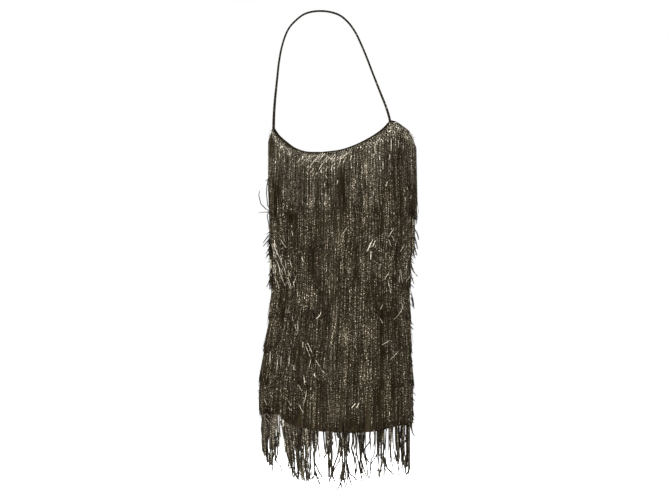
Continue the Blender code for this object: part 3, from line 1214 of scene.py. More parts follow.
@dataclass
class Bindings:
    """The narrow folded bindings along the neckline, the armholes and the back edge."""

    half_height: float = 0.0011
    armhole_half_height: float = 0.0015
    rise: float = 0.0006
    sink: float = 0.0006
    strap_clearance: float = 1.6
    step: float = 1.2
    sides: int = 10
    tone: float = 0.3

    def strip(self, name: str, first: float, last: float, half: float) -> bpy.types.Object:
        """Lays a closed band over the top edge between two angles.

        Args:
            name: the piece's name.
            first: the first angle.
            last: the last angle.
            half: half of its height.

        Returns:
            The piece.
        """
        count = int(round((last - first) / self.step)) + 1
        angles = np.linspace(first, last, count)
        heights = FORM.top(angles) + self.rise
        path = FORM.points(angles, heights, np.full(count, -self.sink))
        return StrandTemplate(count, self.sides).lay(
            name, path[None], np.full((1, count), half), np.array([self.tone]),
            FORM.outward(angles, heights)[None],
        )

    def build(self, finishes: Finishes) -> list[bpy.types.Object]:
        """Builds both bindings.

        Args:
            finishes: the materials.

        Returns:
            The pieces.
        """
        reach = FORM.peak_angle - self.strap_clearance
        start = FORM.peak_angle + self.strap_clearance
        front = self.strip("neckline_edging", -reach, reach, self.half_height)
        back = self.strip("armhole_edging", start, 360.0 - start, self.armhole_half_height)
        dress_piece(front, finishes.tape, Slot.BINDING, "neckline_binding")
        dress_piece(back, finishes.tape, Slot.BINDING, "back_binding")
        return [front, back]


@dataclass
class NeckCord:
    """The halter cord, three plies twisted round each other."""

    route: tuple = (
        (-0.0918, -0.0335, -0.216),
        (-0.0929, -0.0258, -0.183),
        (-0.0926, -0.0162, -0.140),
        (-0.0911, -0.0092, -0.100),
        (-0.0863, -0.0044, -0.066),
        (-0.0761, -0.0016, -0.036),
        (-0.0629, -0.0005, -0.019),
        (-0.0359, 0.0000, -0.002),
        (0.0000, 0.0000, 0.000),
        (0.0353, 0.0000, -0.010),
        (0.0573, -0.0004, -0.027),
        (0.0751, -0.0019, -0.051),
        (0.0889, -0.0047, -0.078),
        (0.1009, -0.0087, -0.104),
        (0.1182, -0.0164, -0.144),
        (0.1357, -0.0259, -0.183),
        (0.1508, -0.0345, -0.216),
    )
    foot_rise: float = 0.006
    foot_dip: float = 0.003
    foot_sink: float = 0.0006
    right_foot_shift: float = -0.0022
    radius: float = 0.0021

    # Each foot is thicker, over a share of the cord's length
    right_foot_radius: float = 0.0031
    right_foot_share: float = 0.35
    left_foot_radius: float = 0.0025
    left_foot_share: float = 0.2
    foot_power: float = 1.5

    # A ply's swing and radius are shares of the cord's radius
    pitch: float = 0.0085
    ply_swing: float = 0.46
    ply_radius: float = 0.60
    ply_tones: tuple = (0.15, 0.45, 0.82)
    ply_sides: int = 6
    stations: int = 900

    def centreline(self) -> tuple[np.ndarray, np.ndarray]:
        """The cord's middle line from the right peak to the left one.

        Returns:
            The points, and the length along the line at each.
        """
        peak = FORM.peak_angle
        sides = np.array([-peak, peak])
        feet = FORM.points(sides, FORM.top(sides) - self.foot_dip, np.full(2, -self.foot_sink))
        feet[0, 0] += self.right_foot_shift
        rise = np.array([0.0, 0.0, self.foot_rise])
        route = np.array([feet[0], feet[0] + rise, *self.route, feet[1] + rise, feet[1]])
        steps = np.linalg.norm(np.diff(route, axis=0), axis=1)
        keys = np.concatenate([[0.0], np.cumsum(steps)])
        along = np.linspace(0.0, keys[-1], self.stations)
        points = np.stack([smooth_table(keys, route[:, axis], along) for axis in range(3)], -1)
        return points, along

    def build(self, finishes: Finishes) -> bpy.types.Object:
        """Builds the cord.

        Args:
            finishes: the materials.

        Returns:
            The piece.
        """
        points, along = self.centreline()
        share = along / along[-1]
        right = np.clip(1 - share / self.right_foot_share, 0, 1) ** self.foot_power
        left = np.clip(1 - (1 - share) / self.left_foot_share, 0, 1) ** self.foot_power
        radius = (
            self.radius
            + (self.right_foot_radius - self.radius) * right
            + (self.left_foot_radius - self.radius) * left
        )
        tangent = np.gradient(points, axis=0)
        tangent /= np.linalg.norm(tangent, axis=1, keepdims=True)
        side = np.cross(tangent, np.array([0.0, 1.0, 0.0]))
        side /= np.linalg.norm(side, axis=1, keepdims=True)
        front = np.cross(side, tangent)
        plies = len(self.ply_tones)
        paths = []
        for ply in range(plies):
            turn = 2 * np.pi * (along / self.pitch + ply / plies)
            swing = self.ply_swing * radius[:, None] * (
                np.cos(turn)[:, None] * side + np.sin(turn)[:, None] * front
            )
            paths.append(points + swing)
        radii = np.repeat(self.ply_radius * radius[None], plies, axis=0)
        outward = np.repeat(front[None], plies, axis=0)
        piece = StrandTemplate(self.stations, self.ply_sides).lay(
            "twisted_neck_cord", np.array(paths), radii, np.array(self.ply_tones), outward
        )
        return dress_piece(piece, finishes.cord, Slot.CORD, "neck_strap")


@dataclass
class FringeTier:
    """A row of fringe over the body, its strands gathered in loose clumps."""

    name: str
    node: str
    header: Optional[float]
    strands: int
    seed: int
    length: float = 0.111
    first: float = -180.0
    last: float = 180.0
    edge_drop: float = 0.002
    # The top tier takes the edge yarn, painted lit near its roots
    bright: bool = False
    profile: tuple = ()
    stand_offs: tuple = ()

    # One strand
    stations: int = 8
    sides: int = 3
    radius: float = 0.00072
    radius_spread: tuple = (0.75, 1.15)
    taper: float = 0.35
    trim: float = 0.0060
    wave: float = 0.0007
    waves: tuple = (0.8, 2.6)

    # Clumps, which pull their strands together towards the tips
    girth: float = 0.85
    clump_pitch: float = 0.011
    pull: tuple = (0.15, 0.80)
    clump_trim: float = 0.0035

    # Strands that stray sideways: a share strays far, the others a little
    far_share: float = 0.035
    far_stray: float = 0.012
    near_stray: float = 0.0012

    # Lift off the cloth, which grows over header_share of the length from a start at edge_share
    header_lift: float = 0.0034
    header_share: float = 0.15
    edge_share: float = 0.15
    slope: float = 0.030
    layer: float = 0.0028
    root_layer: float = 0.35
    flare_share: float = 0.03
    flare: float = 0.004
    least_flare: float = 0.3

    # Tones, with every so many strands pale
    plain_tone: float = 0.05
    tone_reach: float = 0.50
    clump_say: float = 0.30
    own_say: float = 0.70
    pale_every: int = 7
    pale_radius: float = 0.00058
    pale_tones: tuple = (0.62, 1.0)

    def build(self, finishes: Finishes) -> bpy.types.Object:
        """Builds the tier.

        Args:
            finishes: the materials.

        Returns:
            The piece.
        """
        rng = np.random.default_rng(self.seed)
        n = self.strands
        level = NECK_LEVEL if self.header is None else self.header
        roots = FORM.spread(n, level, rng, self.first, self.last)
        tops = FORM.top(roots) - self.edge_drop if self.header is None else np.full(n, level)
        clumps = int(self.girth * (self.last - self.first) / 360.0 / self.clump_pitch)
        centres = FORM.spread(clumps, level, rng, self.first, self.last)
        nearest = np.abs(roots[:, None] - centres[None]).argmin(axis=1)
        pull = rng.uniform(*self.pull, clumps)[nearest]
        clump_tone = rng.uniform(0.0, 1.0, clumps)[nearest]
        clump_trim = rng.normal(0.0, self.clump_trim, clumps)[nearest]
        per_degree = FORM.metres_per_degree(roots, tops)
        s = np.linspace(0.0, 1.0, self.stations)[None]
        length = self.length + clump_trim + rng.normal(0.0, self.trim, n)
        if self.profile:
            length += np.interp(roots, *zip(*self.profile))
        heights = tops[:, None] - length[:, None] * s
        wave = rng.normal(0.0, self.wave, n)[:, None] * np.sin(
            2 * np.pi * (s * rng.uniform(*self.waves, n)[:, None] + rng.uniform(0, 1, n)[:, None])
        )
        stray = np.where(
            rng.random(n) < self.far_share,
            rng.normal(0.0, self.far_stray, n),
            rng.normal(0.0, self.near_stray, n),
        )
        drift = ((centres[nearest] - roots) * pull)[:, None] * s**1.6
        angles = roots[:, None] + drift + (wave + stray[:, None] * s**1.5) / per_degree[:, None]
        flared = rng.random(n) < self.flare_share
        flare = np.where(flared, rng.uniform(self.least_flare, 1.0, n) * self.flare, 0.0)
        pale = (np.arange(n) + self.seed) % self.pale_every == 0
        own = np.where(pale, self.layer, rng.uniform(0.0, self.layer, n))
        ramp = np.clip((s + self.edge_share) / self.header_share, 0.0, 1.0)
        lifts = (
            self.header_lift * ramp
            + self.slope * (tops[:, None] - heights)
            + own[:, None] * (self.root_layer + (1.0 - self.root_layer) * s)
            + flare[:, None] * s**3
        )
        for off in self.stand_offs:
            window = np.exp(-(((roots - off.angle) / off.half_angle) ** 4))[:, None]
            lifts = lifts + window * (off.root_lift * ramp * (1.0 - s) + off.tip_lift * s**1.5)
        paths = FORM.points(angles, heights, lifts)
        mingled = self.clump_say * clump_tone + self.own_say * rng.random(n)
        plain = self.plain_tone + self.tone_reach * mingled
        tones = np.where(pale, rng.uniform(*self.pale_tones, n), plain)
        size = np.where(pale, self.pale_radius, self.radius)
        radii = (size * rng.uniform(*self.radius_spread, n))[:, None] * (1.0 - self.taper * s**3)
        # Painted highlights and painted shade at each point of the tier
        painted_light = PAINTED_LIGHT_PATCHES.at(angles, heights)
        template = StrandTemplate(self.stations, self.sides)
        piece = template.lay(self.name, paths, radii, tones, painted_light=painted_light)
        yarn = finishes.top if self.bright else finishes.fringe
        return dress_piece(piece, yarn, Slot.FRINGE, self.node)


@dataclass(frozen=True)
class Clump:
    """A gathered bundle of hem fringe, from its place at the hem to its tip."""

    angle: float
    width: float
    tip_angle: float
    tip_width: float
    strands: int
    shorter: float
    pale_share: float = 0.5
    thickness: float = 1.0


@dataclass
class HemFringe:
    """The fringe along the hem: gathered clumps, with single strands and gaps between them."""

    clumps: tuple = (
        Clump(-93.0, 10.0, -86.0, 7.0, 4, 0.040),
        Clump(-82.0, 9.0, -73.0, 7.0, 4, 0.034),
        Clump(-72.0, 8.0, -62.0, 6.0, 4, 0.028),
        Clump(-63.0, 8.0, -55.0, 6.0, 4, 0.020),
        Clump(-54.0, 8.0, -49.0, 5.0, 4, 0.012),
        Clump(-46.0, 7.0, -44.5, 5.0, 3, 0.008, 0.67),
        Clump(-38.5, 7.0, -40.0, 4.0, 3, 0.018, 0.67),
        Clump(-60.0, 52.0, -56.0, 42.0, 50, 0.060, 0.40),
        Clump(-55.0, 46.0, -52.0, 36.0, 24, 0.036),
        Clump(-72.0, 42.0, -64.0, 34.0, 9, 0.022, 0.25, 1.40),
        Clump(-48.0, 14.0, -45.5, 9.0, 4, 0.004, 0.25, 1.40),
        Clump(-20.5, 14.0, -15.5, 11.0, 10, 0.003, 0.20, 1.45),
        Clump(-9.0, 7.0, -8.0, 7.0, 5, 0.004, 0.20, 1.45),
        Clump(-29.5, 3.5, -24.5, 2.0, 3, 0.030, 0.67),
        Clump(-25.0, 4.0, -18.5, 3.0, 3, 0.006, 1.0),
        Clump(-20.5, 5.0, -15.5, 4.5, 3, 0.002, 1.0),
        Clump(-15.0, 5.0, -12.0, 4.5, 4, 0.002, 0.75),
        Clump(-10.0, 4.5, -8.5, 4.0, 4, 0.004, 0.75),
        Clump(-5.5, 3.5, -5.5, 3.0, 3, 0.006, 0.67),
        Clump(-17.5, 16.0, -14.5, 12.0, 34, 0.062, 0.30),
        Clump(-15.5, 14.0, -13.0, 10.0, 14, 0.040, 0.40),
        Clump(-6.0, 6.0, -6.0, 5.0, 7, 0.070, 0.40),
        Clump(-0.3, 2.2, -0.5, 1.6, 2, 0.012, 1.0),
        Clump(-0.8, 4.0, -0.6, 3.0, 4, 0.074, 0.30),
        Clump(8.5, 3.0, 10.5, 2.0, 2, 0.014, 1.0),
        Clump(11.8, 3.0, 12.6, 1.8, 3, 0.006, 0.67),
        Clump(10.5, 6.5, 11.5, 4.0, 5, 0.074, 0.40),
        Clump(19.5, 3.0, 20.0, 2.5, 2, 0.010, 1.0),
        Clump(23.0, 3.0, 22.5, 2.5, 3, 0.004, 0.67),
        Clump(21.5, 7.0, 21.5, 5.0, 5, 0.078, 0.40),
        Clump(29.5, 3.0, 31.0, 2.0, 2, 0.010),
        Clump(34.5, 2.0, 36.0, 1.5, 2, 0.014),
        Clump(38.5, 2.0, 38.5, 2.0, 1, 0.020),
        Clump(48.5, 3.0, 49.5, 2.5, 3, 0.010, 0.67),
        Clump(52.5, 3.5, 52.0, 2.5, 3, 0.008, 0.67),
        Clump(51.0, 7.5, 51.0, 5.0, 5, 0.072, 0.40),
        Clump(56.0, 2.0, 55.0, 2.0, 1, 0.020),
        Clump(62.0, 2.0, 62.5, 2.0, 1, 0.014, 1.0),
        Clump(70.0, 3.0, 72.0, 2.0, 1, 0.016, 1.0),
        Clump(80.0, 4.0, 82.0, 3.0, 1, 0.014, 1.0),
        Clump(90.0, 6.0, 90.0, 5.0, 2, 0.014),
        Clump(101.0, 8.0, 102.0, 6.0, 5, 0.010),
        Clump(112.0, 8.0, 114.0, 6.0, 6, 0.008),
        Clump(123.0, 7.0, 124.0, 5.0, 7, 0.008),
        Clump(134.0, 6.0, 133.0, 5.0, 9, 0.006),
        Clump(143.5, 5.0, 144.0, 4.0, 8, 0.008),
        Clump(154.0, 7.5, 154.5, 6.0, 12, 0.006),
        Clump(172.0, 4.0, 172.0, 3.0, 5, 0.004),
        Clump(176.5, 3.0, 176.0, 2.5, 4, 0.006),
        Clump(-174.5, 7.0, -174.5, 5.0, 13, 0.003),
        Clump(-160.0, 6.0, -159.0, 4.0, 11, 0.003),
        Clump(-148.5, 5.0, -148.5, 4.0, 10, 0.002),
        Clump(-141.0, 5.0, -141.0, 4.0, 10, 0.002),
        Clump(-132.0, 8.0, -133.0, 6.0, 14, 0.002),
        Clump(-123.0, 5.0, -126.0, 4.0, 8, 0.004),
        Clump(-105.0, 7.0, -103.0, 5.0, 9, 0.012),
        Clump(-4.8, 5.5, -4.8, 5.5, 6, 0.006, 0.34, 1.35),
        Clump(-12.0, 5.0, -10.8, 4.0, 4, 0.010, 0.25, 1.35),
    )
    dark_routes: tuple = (
        ((-40, 876), (-46.5, 921), (-46.5, 937), (-48, 945)), ((-37, 875), (-40, 914), (-43, 931)),
        ((-36, 883), (-38.5, 924), (-38.5, 938)), ((-42, 885), (-41.5, 936), (-42.5, 955)),
        ((-37.5, 898), (-37, 924), (-31.5, 936), (-30, 949)),
        ((-34, 866), (-35, 905), (-36, 916), (-39, 929)),
        ((-60, 884), (-55, 902), (-50.5, 923), (-50.5, 934)), ((-70.5, 876), (-65, 905), (-57.5, 921)),
        ((-27.5, 852), (-27, 874), (-25, 896), (-24, 912), (-22.5, 918), (-23.5, 931)),
        ((-23.5, 854), (-22.5, 888), (-22, 911), (-21, 927), (-18.5, 938), (-15, 948), (-13.5, 955)),
        ((-20, 857), (-19.5, 894), (-19, 910), (-17.5, 930), (-14, 949)),
        ((-15, 856), (-15, 912), (-14, 931), (-13.5, 954)),
        ((-11, 854), (-11, 907), (-10.5, 937), (-10, 960)),
        ((-12.5, 855), (-12.5, 914), (-11.5, 936), (-9, 951)),
        ((-8, 854), (-7, 901), (-7.5, 925), (-6, 940), (-6, 956)),
        ((-9, 894), (-8, 927), (-5, 937), (-4.5, 958)), ((0, 854), (0, 905), (0, 927), (0, 942)),
        ((0, 935), (-1, 945), (-3.5, 951)), ((0, 935), (1.5, 944), (3.5, 947)),
        ((0, 931), (1.5, 944), (4, 958)), ((0, 915), (3.5, 936), (6, 946)),
        ((0, 927), (1.5, 941), (3.5, 959)), ((6.5, 853), (7, 870), (7.5, 890)),
        ((8.5, 853), (9.5, 888), (10.5, 901), (12, 917), (12.5, 931), (13, 937)),
        ((10, 879), (9.5, 893), (6.5, 908)),
        ((11.5, 853), (12.5, 881), (13, 903), (12.5, 926), (13, 936), (15, 952)),
        ((13, 921), (13, 936), (11, 948), (11.5, 956)), ((10, 894), (10.5, 924), (10.5, 943)),
        ((19.5, 870), (19.5, 897), (17.5, 914), (14.5, 928), (13, 942)),
        ((18.5, 870), (17.5, 897), (16, 908), (14, 923), (12, 945)),
        ((16.5, 852), (17, 858), (17.5, 866)),
        ((18.5, 852), (19.5, 869), (20, 887), (20.5, 902), (20.5, 925), (20.5, 936)),
        ((21, 852), (22, 887), (22.5, 914), (22, 934)),
        ((24, 852), (23.5, 891), (24, 914), (24.5, 936), (24, 953), (22.5, 963)),
        ((25.5, 852), (25.5, 873), (24, 891), (23.5, 920)), ((24, 917), (25, 936), (27.5, 958)),
        ((24.5, 917), (26, 934), (29.5, 943), (31.5, 948)), ((21, 917), (20.5, 938), (18, 946)),
        ((21.5, 917), (21, 939), (18.5, 959), (16.5, 968)), ((21, 924), (21, 939), (22.5, 951)),
        ((21.5, 913), (19.5, 944), (20, 964)),
        ((28, 851), (28.5, 871), (27.5, 886), (29.5, 904), (31, 916), (31, 925), (30, 940)),
        ((29.5, 851), (31, 873), (31, 891), (33, 916), (34, 930), (35.5, 947), (34.5, 954)),
        ((31.5, 851), (33, 871), (34, 902), (34, 919), (35.5, 935)),
        ((34.5, 850), (35.5, 880), (36.5, 894), (38.5, 903), (41, 914)),
        ((37.5, 850), (37, 869), (36.5, 885), (37, 892), (38.5, 912)),
        ((42, 849), (41.5, 865), (42, 872), (39, 882), (37, 892), (37.5, 901)),
        ((36, 891), (38.5, 912), (39.5, 921), (40, 937), (41, 946)),
        ((46, 849), (46, 881), (45.5, 898), (42.5, 911), (42.5, 931), (41.5, 944)),
        ((48.5, 848), (48.5, 881), (47.5, 899), (43, 916), (42, 929)),
        ((34.5, 905), (37, 927), (39.5, 943)), ((42, 874), (42.5, 885), (42.5, 892)),
        ((48.5, 848), (49.5, 873), (49.5, 890), (49, 914), (49.5, 926), (47, 935)),
        ((50.5, 848), (51, 878), (51.5, 902), (50.5, 932), (49, 943)),
        ((53, 848), (54, 891), (53.5, 909), (54.5, 922), (54.5, 942)),
        ((56, 849), (55.5, 867), (54.5, 892)), ((54, 904), (55, 925), (57, 941)),
        ((54.5, 906), (56.5, 925), (61.5, 936), (66, 944)),
        ((59.5, 848), (59.5, 880), (61.5, 897), (62, 912), (60, 927)),
        ((63.5, 849), (64.5, 884), (67, 907), (65.5, 918), (62.5, 932)),
        ((67.5, 850), (68, 883), (70.5, 903), (69.5, 914), (72.5, 933), (72.5, 948)),
        ((72.5, 851), (74, 890), (70.5, 902), (70, 912)),
        ((74, 878), (77, 905), (81, 924), (83, 939), (85.5, 951)), ((76, 851), (75, 873), (79.5, 876)),
        ((81, 852), (81.5, 868), (85, 879), (80.5, 885), (77.5, 891), (80, 904), (86, 922),
        (88.5, 936)), ((87, 875), (86.5, 881), (81.5, 885), (77.5, 893)),
        ((92, 856), (94, 885), (93, 903), (87.5, 914), (81.5, 924), (78, 932), (82, 946)),
        ((94, 873), (95, 918), (95, 957)), ((94, 932), (92, 945), (86, 952)),
        ((70, 853), (71, 889), (72, 921)), ((90, 868), (86, 901), (84, 938)),
    )
    light_routes: tuple = (
        ((-6.5, 850), (-4.5, 868), (-2.5, 883), (-2.5, 900)), ((-2.5, 854), (-1.5, 873), (-1, 889)),
        ((-3, 874), (-3.5, 905), (-3, 928), (-2.5, 937), (-0.5, 961)),
    )
    faint_routes: tuple = (
        ((-31.5, 842), (-28.5, 858), (-27.5, 867), (-27, 885)), ((-32, 840), (-30.5, 852), (-29, 862)),
        ((-32.5, 849), (-32, 868), (-31.5, 875)), ((1.5, 865), (3, 888)),
        ((1, 868), (3, 884), (3.5, 899), (4.5, 915), (5, 929), (6.5, 940)),
        ((15, 854), (16.5, 887), (16.5, 897)), ((45, 850), (45.5, 870), (44.5, 885)),
    )
    seed: int = 71
    length: float = 0.110
    trim: float = 0.007
    root_rise: float = 0.002
    stations: int = 14
    sides: int = 4

    # Radii, how much they vary, and how much a strand thins towards its tip
    radius: float = 0.00112
    radius_spread: tuple = (0.7, 1.15)
    route_radius: float = 0.00164
    faint_radius: float = 0.00128
    route_radius_spread: tuple = (0.85, 1.1)
    taper: float = 0.25

    # Tones
    pale_tones: tuple = (0.7, 1.0)
    plain_tones: tuple = (0.0, 0.5)
    dark_tones: tuple = (0.0, 0.45)
    light_tones: tuple = (0.85, 1.0)
    faint_tones: tuple = (0.6, 0.9)

    # How far a strand leaves its place in a clump, and its lift off the cloth
    root_scatter: float = 0.15
    tip_scatter: float = 0.30
    splay: float = 1.6
    splay_share: float = 0.4
    wave: float = 0.0010
    waves: tuple = (0.8, 2.2)
    lift: float = 0.0012
    layer: float = 0.0025
    layer_drift: float = 0.0012
    tip_lift: float = 0.002
    route_lift: float = 0.0032

    def build(self, finishes: Finishes) -> bpy.types.Object:
        """Builds the hem's fringe.

        Args:
            finishes: the materials.

        Returns:
            The piece.
        """
        rng = np.random.default_rng(self.seed)
        s = np.linspace(0.0, 1.0, self.stations)
        paths, radii, tones = [], [], []
        for clump in self.clumps:
            for index in range(clump.strands):
                place = (index + 0.5 + rng.normal(0, self.root_scatter)) / clump.strands - 0.5
                root = clump.angle + clump.width * place
                gather = place + rng.normal(0, self.tip_scatter) / clump.strands
                tip = clump.tip_angle + clump.tip_width * gather
                splay = rng.normal(0.0, self.splay) * (rng.random() < self.splay_share)
                per_degree = float(FORM.metres_per_degree(np.array(root), np.array(HEM_LEVEL)))
                wave = rng.normal(0.0, self.wave) * np.sin(
                    2 * np.pi * (s * rng.uniform(*self.waves) + rng.random())
                )
                length = self.length - clump.shorter - abs(rng.normal(0.0, self.trim))
                path_angle = (
                    root + (tip - root) * s**1.3 + splay * s**5 + wave * s / per_degree
                )
                height = FORM.hem(np.array(root)) + self.root_rise - length * s
                layer = rng.uniform(0.0, self.layer) + rng.normal(0.0, self.layer_drift) * s
                lifts = self.lift + layer + self.tip_lift * s
                paths.append(FORM.points(path_angle, height, lifts))
                radius = self.radius * clump.thickness * rng.uniform(*self.radius_spread)
                radii.append(radius * (1.0 - self.taper * s**3))
                pale = int((index + 1) * clump.pale_share) > int(index * clump.pale_share)
                tones.append(rng.uniform(*(self.pale_tones if pale else self.plain_tones)))
        for routes, radius, reach in (
            (self.dark_routes, self.route_radius, self.dark_tones),
            (self.light_routes, self.radius, self.light_tones),
            (self.faint_routes, self.faint_radius, self.faint_tones),
        ):
            for route in routes:
                paths.append(smooth_route(route, self.stations, self.route_lift))
                size = radius * rng.uniform(*self.route_radius_spread)
                radii.append(size * (1.0 - self.taper * s**4))
                tones.append(rng.uniform(*reach))
        template = StrandTemplate(self.stations, self.sides)
        piece = template.lay("hem_fringe", np.array(paths), np.array(radii), np.array(tones))
        return dress_piece(piece, finishes.hem, Slot.FRINGE, "fringe_hem")


@dataclass
class EdgeStitches:
    """Small bright stitches in rows under the top edge, with slanting ones at the front."""

    seed: int = 19
    stations: int = 5
    sides: int = 4
    tones: tuple = (0.45, 1.0)

    # Rows, their scatter, and how deep they reach at each angle
    pitch: float = 0.0043
    jitter: float = 0.35
    row_gap: float = 0.0037
    first_row: float = 0.0034
    row_scatter: float = 0.0007
    depth_scatter: float = 0.002
    depths: tuple = (
        (-180, 0.010), (-110, 0.010), (-90, 0.003), (-62, 0.003), (-54, 0.012), (-42, 0.024),
        (-28, 0.018), (-20, 0.009), (-8, 0.007), (20, 0.008), (36, 0.015), (50, 0.026), (62, 0.028),
        (80, 0.019), (90, 0.006), (112, 0.003), (130, 0.010), (180, 0.010),
    )

    # One stitch, which leans one way or the other by an angle in radians
    stitch: float = 0.0031
    stitch_spread: tuple = (0.6, 1.3)
    radius: float = 0.00060
    radius_spread: tuple = (0.7, 1.15)
    end_taper: float = 0.5
    lean_share: float = 0.6
    leans: tuple = (0.65, -0.4)
    lean_scatter: float = 0.3

    # The long slanting stitches at the front
    slant_first: float = -18.0
    slant_last: float = 24.0
    slant_step: float = 1.0
    slant_jitter: float = 0.4
    slant_drops: tuple = (0.008, 0.018)
    slant: float = 0.66
    slant_scatter: float = 0.08
    slant_lengths: tuple = (0.012, 0.022)
    slant_radius: float = 0.00050

    # Lift off the cloth, and the clearance from the top edge
    lift: float = 0.0056
    lift_scatter: float = 0.0004
    end_dip: float = 0.0006
    edge_clearance: float = 0.0012

    def build(self, finishes: Finishes) -> bpy.types.Object:
        """Builds the stitches.

        Args:
            finishes: the materials.

        Returns:
            The piece.
        """
        rng = np.random.default_rng(self.seed)
        marks = np.linspace(-180.0, 180.0, ANGLE_MARKS)
        level = np.full_like(marks, NECK_LEVEL)
        columns = int(FORM.metres_per_degree(marks, level).mean() * 360.0 / self.pitch)
        rows = int(max(depth for _, depth in self.depths) / self.row_gap) + 1
        angles, drops, leans, lengths, radii = [], [], [], [], []
        for row in range(rows):
            places = FORM.spread(columns, NECK_LEVEL, rng, jitter=self.jitter)
            places = places + (row % 2) * 180.0 / columns
            drop = self.first_row + self.row_gap * row + rng.normal(0, self.row_scatter, columns)
            reach = np.interp(places, *zip(*self.depths))
            shown = drop < reach + rng.normal(0, self.depth_scatter, columns)
            count = int(shown.sum())
            angles.append(places[shown])
            drops.append(drop[shown])
            lean = np.where(rng.random(count) < self.lean_share, *self.leans)
            leans.append(lean + rng.normal(0, self.lean_scatter, count))
            lengths.append(self.stitch * rng.uniform(*self.stitch_spread, count))
            radii.append(self.radius * rng.uniform(*self.radius_spread, count))
        slants = np.arange(self.slant_first, self.slant_last, self.slant_step)
        count = len(slants)
        angles.append(slants + rng.normal(0, self.slant_jitter, count))
        drops.append(rng.uniform(*self.slant_drops, count))
        leans.append(self.slant + rng.normal(0, self.slant_scatter, count))
        lengths.append(rng.uniform(*self.slant_lengths, count))
        radii.append(np.full(count, self.slant_radius))
        root, drop, lean, length, radius = map(
            np.concatenate, (angles, drops, leans, lengths, radii)
        )
        s = np.linspace(-0.5, 0.5, self.stations)[None]
        tops = FORM.top(root) - drop
        heights = tops[:, None] - (length * np.cos(lean))[:, None] * s
        sideways = -(length * np.sin(lean))[:, None] * s
        per_degree = FORM.metres_per_degree(root, tops)
        across = root[:, None] + sideways / per_degree[:, None]
        heights = np.minimum(heights, FORM.top(across) - self.edge_clearance)
        lifts = self.lift + rng.normal(0.0, self.lift_scatter, len(root))[:, None]
        paths = FORM.points(across, heights, lifts - self.end_dip * (2 * s) ** 2)
        widths = radius[:, None] * (1.0 - self.end_taper * (2 * s) ** 4)
        template = StrandTemplate(self.stations, self.sides)
        tones = rng.uniform(*self.tones, len(root))
        tones[-count::2] = 0.0
        # The stitches take the painted highlights and painted shade too
        piece = template.lay("edge_stitches", paths, widths, tones, painted_light=PAINTED_LIGHT_PATCHES.at(across, heights))
        return dress_piece(piece, finishes.stitch, Slot.FRINGE)


